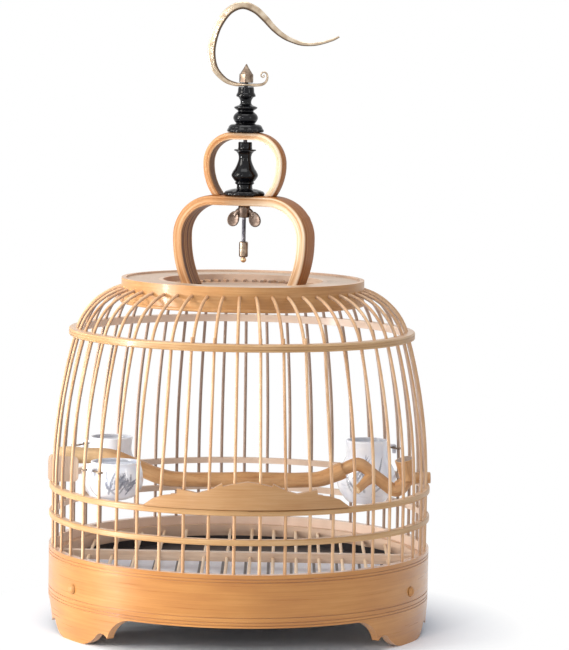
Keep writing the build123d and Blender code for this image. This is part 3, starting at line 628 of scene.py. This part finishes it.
def arch(name, node, shape, width, ring_at=None):
    """Bent bamboo strip with its feet cut level and, if a length along it from its right foot
    is given, a faint node ring there."""
    line, profile = arch_line(**shape), strip_profile(shape["thickness"], width)
    length, points, grain, skin = 0, [], [], []
    for k, (x, z, nx, nz) in enumerate(line):
        if k:
            length += hypot(x - line[k - 1][0], z - line[k - 1][1])
        ring = RING_RISE * exp(-((length - ring_at) / RING_REACH) ** 2) if ring_at else 0
        wave = 0.15 * noise.noise(Vector((length * 0.05, 3.1, 0)))
        for inset, across, kind in profile:
            depth = inset - ring + wave if kind > 0.5 else inset
            height = max(z - nz * depth, shape["foot_z"])
            points.append(turn_z((x - nx * depth, across, height), HANDLE_TURN))
            grain.append((length, across, depth))
            skin.append(kind)
    make(name, points, tube_faces(len(points), len(profile)), arch_skin, "cage",
         (node,), grain, skin)


arch("handle_lower", "lower_arch", LOWER_ARCH, 27, ring_at=68)
arch("handle_upper", "upper_arch", UPPER_ARCH, 14)

# Lacquered turnings, each with a scalloped flange at its foot
LOBES, LOBE_DEPTH, FLANGE_SHARE = 8, 1.5, 0.11


def lobed(radius, low, high):
    """Swell that scallops a flange into petals between two heights."""
    def swell(r, z, angle):
        if not low <= z <= high or r < radius * 0.6:
            return r
        petal = abs(sin(LOBES * angle / 2)) ** 0.7
        return r - LOBE_DEPTH * (1 - petal) * (r / radius) ** 2
    return swell


def shares_line(shares, radius, height, foot):
    """Smooth profile through rows of (share of radius, share of height, sharp)."""
    out, run, step = [], [], 0.35
    for r, z, sharp in shares:
        run.append((radius * r, foot + height * z))
        if sharp:
            if len(run) > 1:
                out += smooth_line(run, step)
            run = [run[-1]]
    if len(run) > 1:
        out += smooth_line(run, step)
    return [(max(r, 0.01), z) for r, z in out]


baluster = ((0, 0, 1), (0.93, 0, 1), (0.985, 0.012, 0), (1, 0.035, 0), (0.97, 0.06, 1),
            (0.9, 0.082, 0), (0.6, 0.118, 0), (0.387, 0.13, 1), (0.372, 0.16, 0), (0.375, 0.2, 1),
            (0.44, 0.215, 0), (0.46, 0.235, 0), (0.43, 0.255, 1), (0.52, 0.29, 0), (0.635, 0.37, 0),
            (0.58, 0.44, 0), (0.464, 0.51, 0), (0.36, 0.6, 0), (0.3, 0.69, 0), (0.33, 0.77, 0),
            (0.43, 0.82, 0), (0.52, 0.838, 1), (0.53, 0.85, 0), (0.5, 0.862, 1), (0.35, 0.868, 1),
            (0.331, 0.9, 0), (0.331, 0.98, 1), (0.31, 1, 1), (0, 1, 1))
finial = ((0, 0, 1), (0.94, 0, 1), (0.99, 0.015, 0), (1, 0.04, 0), (0.96, 0.07, 1),
          (0.86, 0.13, 0), (0.76, 0.165, 0), (0.52, 0.185, 1), (0.5, 0.2, 1), (0.58, 0.235, 0),
          (0.652, 0.31, 0), (0.6, 0.38, 0), (0.47, 0.435, 0), (0.41, 0.455, 1), (0.42, 0.475, 1),
          (0.52, 0.5, 0), (0.605, 0.53, 0), (0.6, 0.555, 0), (0.48, 0.58, 0), (0.36, 0.6, 0),
          (0.29, 0.64, 0), (0.3, 0.7, 0), (0.37, 0.755, 0), (0.41, 0.772, 1), (0.49, 0.785, 0),
          (0.512, 0.806, 0), (0.49, 0.84, 0), (0.44, 0.88, 0), (0.42, 0.96, 0), (0.4, 1, 1),
          (0, 1, 1))
for node, shares, radius, height, foot in (
        ("baluster", baluster, BALUSTER_R, BALUSTER_HEIGHT, LOWER_TOP),
        ("finial", finial, FINIAL_R, FINIAL_HEIGHT, UPPER_TOP)):
    lathe(node + "_turning", shares_line(shares, radius, height, foot), lacquer, "cage",
          (node,), lobed(radius, foot, foot + FLANGE_SHARE * height))

# Cap nut: faceted, with a pointed top
EYE_Z, EYE_HEIGHT = UPPER_TOP + FINIAL_HEIGHT + SEAT_GAP, 3
CAP_Z = EYE_Z + EYE_HEIGHT + SEAT_GAP
FACETS, FACET_SWELL = 8, 1.03
POINT_R, POINT_RISE = 1.5, 15.5  # where its point is round


def facet(r, z, angle):
    """Radius of the nut's flat-sided rings."""
    step = 2 * pi / FACETS
    across = (angle + step / 4) % step - step / 2
    if r <= POINT_R or z >= CAP_Z + POINT_RISE:
        return r
    return r * cos(step / 2) / cos(across) * FACET_SWELL


cap_profile = ((0.01, 0), (5.4, 0), (5.9, 0.5), (5.95, 1.2), (5.95, 6.6), (5.7, 7.4), (4.9, 8),
               (4.75, 8.4), (4.5, 9), (2.6, 12), (1.2, 14.4), (0.75, 15.4), (0.4, 15.9), (0.01, 16))
cap = lathe("cap_nut_facets", [(r, CAP_Z + z) for r, z in cap_profile], brass, "cage",
            ("cap_nut",), facet, steps=64)
edges = cap.modifiers.new("edges", "BEVEL")
edges.width = 0.15 * MM
edges.segments = 2
edges.angle_limit = radians(30)
edges.harden_normals = True

# Hook: a forged strap, broad in the bow, flat at the eye, with a curled end. Its rows give
# places along it as shares of its height, and its width there as a share of the full strap.
HOOK_HEIGHT, HOOK_STRAP, HOOK_TWIST = 70, 6.6, radians(14)
EYE_REACH, EYE_RISE = 9, 8  # how far the strap thickens round the eye
STRAP_STEPS = 28
hook_rows = ((0.21, 0.122, 0.16), (0.222, 0.112, 0.16), (0.212, 0.096, 0.17), (0.19, 0.1, 0.18),
             (0.18, 0.124, 0.19), (0.194, 0.151, 0.2), (0.226, 0.158, 0.22), (0.253, 0.134, 0.24),
             (0.26, 0.092, 0.27), (0.246, 0.046, 0.31), (0.208, 0.013, 0.36),
             (0.15, 0, 0.41), (0.08, -0.002, 0.46),
             (0, 0, 0.48), (-0.129, 0.006, 0.54), (-0.264, 0.059, 0.68), (-0.383, 0.19, 0.86),
             (-0.427, 0.364, 0.98), (-0.411, 0.536, 1), (-0.347, 0.726, 1),
             (-0.221, 0.9, 1), (-0.064, 0.97, 1), (0.093, 0.921, 0.97), (0.214, 0.817, 0.9),
             (0.333, 0.691, 0.8), (0.45, 0.6, 0.7), (0.57, 0.544, 0.6), (0.689, 0.511, 0.52),
             (0.857, 0.513, 0.42), (1.039, 0.563, 0.34), (1.131, 0.606, 0.24))


def strap_section(wide, deep, power, steps):
    """Rounded strap outline, as (in the hook's plane, across it)."""
    out = []
    for angle in ring_angles(steps):
        c, s = cos(angle), sin(angle)
        out.append((wide / 2 * abs(c) ** (2 / power) * (1 if c > 0 else -1),
                    deep / 2 * abs(s) ** (2 / power) * (1 if s > 0 else -1)))
    return out


def hook_piece():
    """Strap that twists a little in the bow and thickens round the eye."""
    middle = EYE_Z + EYE_HEIGHT / 2
    line = smooth_line([(x * HOOK_HEIGHT, z * HOOK_HEIGHT, 0, w) for x, z, w in hook_rows], 0.8)
    points, grain, skin, length = [], [], [], 0
    for k, (x, z, _, share) in enumerate(line):
        span = span_at(line, k)
        tangent = Vector((span[0], 0, span[1])).normalized()
        across = Vector((-tangent.z, 0, tangent.x))
        if k:
            length += hypot(x - line[k - 1][0], z - line[k - 1][1])
        low = z < EYE_RISE
        eye = exp(-(x / EYE_REACH) ** 2) if low else 0
        wide = max(share * HOOK_STRAP, 1.05) * (1 - 0.12 * eye)
        deep = 1.3 + 2.1 * min(1, share) + 5.6 * eye
        twist = 0.0 if low and x > -EYE_RISE else HOOK_TWIST * min(1, share)
        for u, v in strap_section(wide, deep, 2.4 + 1.6 * share, STRAP_STEPS):
            pu, pv = turned(u, v, twist)
            point = Vector((x, 0, middle + z)) + across * pu + Vector((0, pv, 0))
            points.append(turn_z(point, HOOK_TURN))
            grain.append((length, u, v))
            # skin is 0 on one edge of the strap, the inner edge of the bow, which takes painted
            # shade, and 1 on the other
            skin.append(0.5 + u / wide)
    make("hook_strap", points, tube_faces(len(points), STRAP_STEPS), hook_brass, "hook",
         ("hook",), grain, skin)


hook_piece()

# Wing nut: round ears hanging from a short hub
HUB_TOP = LOWER_TOP - LOWER_THICKNESS - SEAT_GAP
NUT_STEPS, NECK_STEPS, NECK_RINGS = 48, 16, 9
EAR_HALF_WIDTH, EAR_HALF_LENGTH, EAR_TILT = 5.2, 6.8, radians(20)
EAR_OUT, EAR_DROP = 9.6, 11.5  # of an ear's middle from the hub's top
NECK_OUT, NECK_REACH, NECK_DROP, NECK_HALF = 3.6, 5.2, 4.6, 2.5


def wing_nut():
    """Hub, two dished ears and the necks that carry them."""
    hub = ((0.01, -10.4), (2.4, -10.4), (4.2, -10.2), (4.7, -9.6), (4.8, -5), (5.15, -3.8),
           (5.15, -0.9), (4.6, 0), (0.01, 0))
    rim = ((0.01, -0.62), (0.72, -0.72), (0.84, -1.05), (0.95, -1.1), (1, -0.6), (1, 0.6),
           (0.95, 1.1), (0.84, 1.05), (0.72, 0.72), (0.01, 0.62))
    points = [(r * cos(angle), r * sin(angle), HUB_TOP + z) for r, z in hub
              for angle in ring_angles(NUT_STEPS)]
    faces = tube_faces(len(points), NUT_STEPS)
    for side in (-1, 1):
        ear, neck, tilt = [], [], EAR_TILT * side
        for r, y in rim:
            for angle in ring_angles(NUT_STEPS):
                x, z = r * EAR_HALF_WIDTH * sin(angle), r * EAR_HALF_LENGTH * cos(angle)
                x *= 1 - 0.12 * cos(angle)
                px, pz = turned(x, z, tilt)
                ear.append((side * EAR_OUT + px, y, HUB_TOP - EAR_DROP + pz))
        for k in range(NECK_RINGS):
            s = k / (NECK_RINGS - 1)
            x, z = side * (NECK_OUT + NECK_REACH * s), HUB_TOP - NECK_DROP - NECK_DROP * s * s
            half = NECK_HALF - 0.6 * s
            for angle in ring_angles(NECK_STEPS):
                neck.append((x + side * half * 0.5 * cos(angle),
                             1.5 * sin(angle) * (1 - 0.25 * s), z + half * cos(angle)))
        for part, steps in ((ear, NUT_STEPS), (neck, NECK_STEPS)):
            faces += tube_faces(len(part), steps, len(points))
            points += part
    points = [turn_z(p, HANDLE_TURN) for p in points]
    make("wing_nut_cast", points, faces, bronze, "wing_nut", ("wing_nut",))


wing_nut()


# Perch: a natural branch with knots, cut ends and a forked stub
BRANCH_STEPS = 36


def knotty(start, end, *knots):
    """Radius along a branch from its start to its end, with knots of (share of the length,
    rise, reach)."""
    def radius_at(length, total):
        base = start + (end - start) * length / total
        return base + sum(rise * exp(-((length - place * total) / reach) ** 2)
                          for place, rise, reach in knots)
    return radius_at


def branch_tube(line, radius_at, end_share, cut):
    """Irregular round branch along a line: points, grain and skin. Its flat ends have the skin
    cut, and start at a share of its radius, which rounds their edge."""
    frames, lengths = [], [0.0]
    for k, p in enumerate(line):
        tangent = Vector(span_at(line, k)[:3]).normalized()
        side = tangent.cross(Vector((0, 1, 0))).normalized()
        frames.append((Vector(p[:3]), side, side.cross(tangent).normalized()))
        if k:
            lengths.append(lengths[-1] + float(np.linalg.norm((p - line[k - 1])[:3])))
    shares, last = (0.01, 0.55, end_share), len(line) - 1
    rows = [(0, share, cut) for share in shares] + [(k, 1.0, 1) for k in range(len(line))]
    rows += [(last, share, cut) for share in reversed(shares)]
    points, grain, skin = [], [], []
    for k, share, kind in rows:
        (centre, side, up), length = frames[k], lengths[k]
        radius = radius_at(length, lengths[-1]) * share
        for angle in ring_angles(BRANCH_STEPS):
            lump = noise.noise(Vector((length * 0.035, cos(angle) * 0.8, sin(angle) * 0.8)))
            fold = noise.noise(Vector((length * 0.012 + 7, cos(angle) * 2.2, sin(angle) * 2.2)))
            r = radius * (1 + 0.085 * lump + 0.06 * fold)
            points.append(centre + side * (r * cos(angle)) + up * (r * sin(angle)))
            grain.append((length, r * cos(angle), r * sin(angle)))
            skin.append(kind)
    return points, grain, skin


REST_Z = 129.8  # the right end's centre, on the upper ring
STUB_FOOT, STUB_TIP = (113.9, 0, 129.6), (101, -12, 120.1)
SAWN_FOOT, SAWN_TOP = (146.7, 0, 127.9), (142.8, -3, 146.3)
thick_line = ((-161, 0.4, 146.4), (-148, -0.3, 146.8), (-134, 0.2, 146.1), (-121, 0.3, 146.2),
              (-110, 0, 144.4), (-98, -0.3, 140), (-84, 0, 134.4), (-72, 0.2, 129.7),
              (-61, 0, 127), (-46, 0, 126.2), (-20, 0.3, 126), (8, -0.3, 126.5),
              (36, 0.2, 126.3), (58, 0, 126.8), (69, 0, 127.7), (79, 0, 131.1), (90, 0, 136))
thin_line = ((82, 0, 132.4), (90, 0, 136.3), (97, 0, 139.5), (102.6, 0, 140.8),
             (108.5, 0, 138.4), (116, 0, 132.3), (124, 0, 125.9), (131, 0, 120.4),
             (135.3, 0, 118.8), (139.6, 0, 120.8), (144.5, 0, 125.6), (149, 0, 128.6),
             (155, 0, 129.5), (166, 0, REST_Z))


def forked_perch():
    """The branch: thick and thin stretches, a thin stub and a sawn-off one. Each has a line, a
    step along it, its ends' share of the radius, their skin, and its radius."""
    stretches = (
        (thick_line, 1.6, 0.93, 0.5, knotty(6.6, 6.6, (0.06, 0.4, 7), (0.2, 0.35, 11),
                                            (0.37, 0.4, 8), (0.66, 0.3, 10), (0.985, 0.6, 6))),
        (thin_line, 1.2, 0.93, 0.5, knotty(5.2, 4.9, (0.25, 0.5, 7), (0.5, 0.4, 8),
                                           (0.7, 1.4, 7))),
        ((STUB_FOOT, (110, -3.4, 126.8), (105.6, -7.6, 123.2), STUB_TIP), 1.2, 0.8, 0.5,
         knotty(4.1, 3.6, (0.1, 1.0, 5))),
        ((SAWN_FOOT, (146, -0.6, 132), (144.6, -1.8, 139), SAWN_TOP), 1.0, 0.86, 0.0,
         knotty(6.5, 8.0, (0.0, 0.6, 4))))
    points, faces, grain, skin = [], [], [], []
    for line, step, end_share, cut, radius_at in stretches:
        places, fibre_places, skins = branch_tube(smooth_line(line, step), radius_at, end_share,
                                                  cut)
        faces += tube_faces(len(places), BRANCH_STEPS, len(points))
        points += places
        grain += fibre_places
        skin += skins
    make("perch_branch", points, faces, bark, "cage", ("perch",), grain, skin)


forked_perch()

# Feeding cups: thrown porcelain with a brushed reed design, hung on wires between the bars
CUP_WALL, CUP_STEPS, EAR_STEPS = 2.0, 160, 24
EAR_THICKNESS, EAR_WIDTH, EAR_REACH = 2.3, 6, 2.4
RIM_SHADE = 0.42  # painted shade: wash carried with the ink just inside the rim, where the rim's shadow falls
WIRE_Z, WIRE_D, WIRE_FIT = 146, 1.6, 0.1
BAR_D, BARS_R, HALF_LEAN = 2.8, 161.5, radians(8)
SHOULDER_Z, SHOULDER_BEND = 190.8, 470  # of the bars' long bend


def leaf_field(angle, height, strokes, radius):
    """Ink at points of a cup's wall. A stroke is (angle, height, lean, length, width, dark)."""
    ink = np.zeros_like(angle)
    for a, h, lean, length, width, dark in strokes:
        x = ((angle - a + pi) % (2 * pi) - pi) * radius
        y = height - h
        along = (x * sin(lean) + y * cos(lean)) / length
        across = x * cos(lean) - y * sin(lean) - 0.12 * length * along * along
        half = width * np.clip(along, 0, 1) ** 0.45 * np.clip(1 - along, 0, 1) ** 0.9
        edge = np.clip((half - np.abs(across)) / 0.35, 0, 1)
        ink = np.maximum(ink, edge * dark * (0.65 + 0.35 * np.clip(along, 0, 1)))
    return ink


def reed_strokes(seed, centre, height, count):
    """Brushed reeds, leaves and a faint wash, in one clump."""
    rng = np.random.default_rng(seed)
    strokes = []
    for _ in range(count):
        a = centre + rng.uniform(-0.5, 0.5)
        lean = rng.uniform(-1.2, 1.2)
        strokes.append((a, height * rng.uniform(0.15, 0.5), lean,
                        height * rng.uniform(0.25, 0.5), rng.uniform(1.5, 3.1),
                        rng.uniform(0.65, 1.0)))
    for _ in range(count // 2):
        strokes.append((centre + rng.uniform(-0.7, 0.7), height * rng.uniform(0.1, 0.3),
                        rng.uniform(-0.25, 0.25), height * rng.uniform(0.4, 0.7),
                        rng.uniform(0.25, 0.45), 0.7))
    for _ in range(5):
        strokes.append((centre + rng.uniform(-1.2, 1.2), height * rng.uniform(0.1, 0.35), pi / 2,
                        rng.uniform(9, 15), rng.uniform(1.2, 2.6), rng.uniform(0.12, 0.25)))
    return strokes


def wire_wall():
    """Radius of the straight middle of a cup's wire."""
    bend_z = SHOULDER_Z - SHOULDER_BEND * tan(HALF_LEAN)
    wall = BARS_R - SHOULDER_BEND + sqrt(SHOULDER_BEND ** 2 - (WIRE_Z - bend_z) ** 2)
    clip = BAR_D / 2 + WIRE_FIT + WIRE_D / 2
    return wall * cos(pi / BARS) - clip


def cup_profile(radius, height, shares):
    """Section of a cup as (radius, height): foot ring, outside, rolled rim and inside, with the
    row where its inside starts."""
    outer = [(radius * r, height * z) for r, z in shares]
    floor_z = 1.5 * CUP_WALL
    wall = smooth_line(outer, 0.7)
    lip_r, lip_z = outer[-1]
    inner = [(r - CUP_WALL, z) for r, z in outer if z > floor_z + 1]
    inner = smooth_line([(inner[0][0] * 0.82, floor_z + 0.6), *inner], 1.2)
    foot_r = outer[0][0]
    profile = [(0.01, 1.2), (foot_r - 2.6, 1.2), (foot_r - 2.1, 0.2), (foot_r - 1.6, 0),
               (foot_r - 0.4, 0)]
    profile += [(r, z) for r, z in wall if z > 0.3]
    profile += [(lip_r - CUP_WALL / 2 * (1 - cos(pi * k / 6)), lip_z + 0.55 * sin(pi * k / 6))
                for k in range(1, 6)]
    profile += [(r, z) for r, z in reversed(inner)][1:]
    profile += [(inner[0][0] * 0.6, floor_z), (0.01, floor_z - 0.2)]
    return profile, len(profile) - len(inner) - 2


def cup_ear(rim_r):
    """Points of the strap from a cup's rim over its wire and down the far side."""
    ear_r = wire_wall() + WIRE_D / 2 + SEAT_GAP + EAR_REACH
    bridge_z = WIRE_Z + WIRE_D / 2 + SEAT_GAP
    path = [(rim_r - 0.6, bridge_z + 1.2), (rim_r + 1.2, bridge_z + 1.25),
            (ear_r - 3.2, bridge_z + 1.3), (ear_r - 1.7, bridge_z + 0.7),
            (ear_r - 1.2, bridge_z - 0.9), (ear_r - 1.2, WIRE_Z - 5)]
    line, points = smooth_line(path, 0.5), []
    for k, p in enumerate(line):
        ty, tz = span_at(line, k)
        size = hypot(ty, tz)
        ny, nz = -tz / size, ty / size
        taper = 1 - 0.35 * (k / len(line)) ** 3
        for u, v in strap_section(EAR_THICKNESS, EAR_WIDTH * taper, 3.2, EAR_STEPS):
            points.append((v, -(p[0] + ny * u), p[1] + nz * u))
    return points


def cup(name, shares, centre_r, foot, height, diameter, bearing, seed, paint, count):
    """Cup with a foot ring, rolled rim, ear and ink design, turned to its bearing, with painted
    shade just inside the rim. paint is the angle round the cup where the design lies, and count its
    number of leaves."""
    radius = diameter / 2
    profile, inside = cup_profile(radius, height, shares)
    points = [(r * sin(angle), -centre_r - r * cos(angle), foot + z) for r, z in profile
              for angle in ring_angles(CUP_STEPS)]
    faces = tube_faces(len(points), CUP_STEPS)
    angles = np.tile(ring_angles(CUP_STEPS), len(profile))
    rows = np.repeat(np.arange(len(profile)), CUP_STEPS)
    heights = np.array([z for _, z in profile])[rows]
    leaves = leaf_field(angles, heights, reed_strokes(seed, paint, height, count), radius)
    # Painted shade: a band of wash just inside the rim
    shadow = RIM_SHADE * ((rows >= inside) & (rows < inside + 3))
    ink = np.maximum(leaves * (rows < inside), shadow)
    ear = cup_ear(centre_r + radius * shares[-1][0] - CUP_WALL / 2)
    faces += tube_faces(len(ear), EAR_STEPS, len(points))
    ink = np.concatenate([ink, np.zeros(len(ear))])
    points = [turn_z(p, radians(bearing)) for p in points + ear]
    make(name + "_thrown", points, faces, glaze, name, (name,), ink=ink)


bowl = ((0.5, 0), (0.64, 0.035), (0.8, 0.13), (0.95, 0.31), (1, 0.5), (0.965, 0.75), (0.9, 0.93),
        (0.905, 1))
jar = ((0.6, 0), (0.66, 0.02), (0.8, 0.1), (0.95, 0.23), (1, 0.36), (0.955, 0.49), (0.85, 0.6),
       (0.745, 0.69), (0.7, 0.76), (0.69, 0.83), (0.7, 0.92), (0.717, 1))
jar_sizes = {"shares": jar, "centre_r": 131.5, "foot": 99, "height": 55, "diameter": 53,
             "count": 16}
cup("cup_front_left", bowl, centre_r=134, foot=121.5, height=30.5, diameter=46.5, bearing=-53.5,
    seed=4, paint=1.05, count=34)
cup("cup_back_left", bearing=-121.5, seed=15, paint=2.2, **jar_sizes)
cup("cup_back_right", bearing=118.5, seed=22, paint=-2.3, **jar_sizes)


# Tray liner: a paper sheet under the floor, from the front to well behind the crossbeam
LINER_R, LINER_BACK, LINER_FRONT_SHARE = 149, 84, 0.995
LINER_FOOT, LINER_THICKNESS = 46.7, 0.35
ROWS, COLUMNS = 24, 48


def tray_liner():
    """Disc with its back cut straight, a little creased."""
    points, faces = [], []
    for side in (0, LINER_THICKNESS):
        for i in range(ROWS):
            y = LINER_BACK - (LINER_BACK + LINER_FRONT_SHARE * LINER_R) * i / (ROWS - 1)
            half = sqrt(LINER_R ** 2 - y ** 2)
            for j in range(COLUMNS):
                x = half * (2 * j / (COLUMNS - 1) - 1)
                crease = 0.25 * (1 + noise.noise(Vector((x * 0.02, y * 0.02, 4))))
                points.append(turn_z((x, y, LINER_FOOT + side + crease), FLOOR_TURN))
    count = ROWS * COLUMNS
    for i in range(ROWS - 1):
        for j in range(COLUMNS - 1):
            low = i * COLUMNS + j
            quad = (low, low + 1, low + COLUMNS + 1, low + COLUMNS)
            faces += [quad, tuple(count + v for v in reversed(quad))]
    rim = list(range(COLUMNS))
    rim += [i * COLUMNS + COLUMNS - 1 for i in range(1, ROWS)]
    rim += [(ROWS - 1) * COLUMNS + j for j in range(COLUMNS - 2, -1, -1)]
    rim += [i * COLUMNS for i in range(ROWS - 2, 0, -1)]
    faces += [(v, count + v, count + w, w) for v, w in zip(rim, rim[1:] + rim[:1])]
    make("tray_liner", points, faces, liner_finish, "tray")


tray_liner()


# Floor, backdrop and light
WHITE = (1, 1, 1, 1)
FLOOR_HALF, NEAR, FAR = 24.0, 0.168, 0.25  # in metres: the floor, and where it turns white


def floor_material():
    """White floor that keeps shadows, a little blue round the cage and pure white far off."""
    material, tree, shader = surface("studio_floor")
    place, x, y, _ = object_place(tree)
    base = mix(tree, clouds(tree, place, 2.0, 0.5, 3.0), colour(245, 249, 255),
               colour(250, 252, 255))
    set_inputs(tree, shader, Base_Color=base, Roughness=0.6, Specular_IOR_Level=0.2)
    light = add(tree, "Emission", Color=WHITE, Strength=1.0)
    far = remap(tree, off_axis(tree, x, y), NEAR, FAR)
    mixed = add(tree, "MixShader", i0=calc(tree, "MULTIPLY", far, seen_rays(tree)),
                i1=shader.outputs[0], i2=light.outputs[0])
    out = next(n for n in tree.nodes if n.type == "OUTPUT_MATERIAL")
    tree.links.new(mixed.outputs[0], out.inputs["Surface"])
    return material


floor_mesh = bpy.data.meshes.new("studio_floor")
floor_mesh.from_pydata([(x * FLOOR_HALF, y * FLOOR_HALF, 0)
                        for x, y in ((-1, -1), (1, -1), (1, 1), (-1, 1))], [], [(0, 1, 2, 3)])
floor_mesh.materials.append(floor_material())
put("studio_floor", floor_mesh)

world = bpy.data.worlds.new("studio")
bpy.context.scene.world = world
world.use_nodes = True
tree = world.node_tree
tree.nodes.clear()
soft = add(tree, "Background", Color=colour(232, 238, 250), Strength=0.43)
white = add(tree, "Background", Color=WHITE, Strength=1.0)
mixed = add(tree, "MixShader", i0=seen_rays(tree), i1=soft.outputs[0], i2=white.outputs[0])
out = add(tree, "OutputWorld")
tree.links.new(mixed.outputs[0], out.inputs["Surface"])


def soft_box(name, place, target, width, height, power, tint=(255, 255, 255)):
    """Area light in metres, aimed at a point."""
    data = bpy.data.lights.new(name, "AREA")
    data.shape = "RECTANGLE"
    data.size, data.size_y = width, height
    data.energy = power
    data.color = colour(*tint)[:3]
    light = put(name, data)
    light.location = place
    light.rotation_euler = (Vector(target) - Vector(place)).to_track_quat("-Z", "Y").to_euler()


soft_box("key", (-2.45, -0.95, 1.5), (0, 0, 0.2), 1.2, 1.4, 54, (255, 250, 242))
soft_box("fill", (1.8, -1.9, 0.9), (0, 0, 0.2), 1.4, 1.4, 2.5, (240, 245, 255))
soft_box("top", (-0.1, -0.3, 2.4), (0, 0, 0.3), 1.6, 1.6, 24)
soft_box("side", (-1.46, -0.34, 0.16), (0, 0, 0.1), 0.16, 0.3, 18)
soft_box("left_strip", (-1.1, -2.0, 0.9), (0, 0, 0.35), 0.05, 1.1, 7)
soft_box("right_strip", (1.5, -1.6, 0.9), (0, 0, 0.35), 0.04, 1.1, 3)

bpy.context.scene.view_settings.view_transform = "Standard"
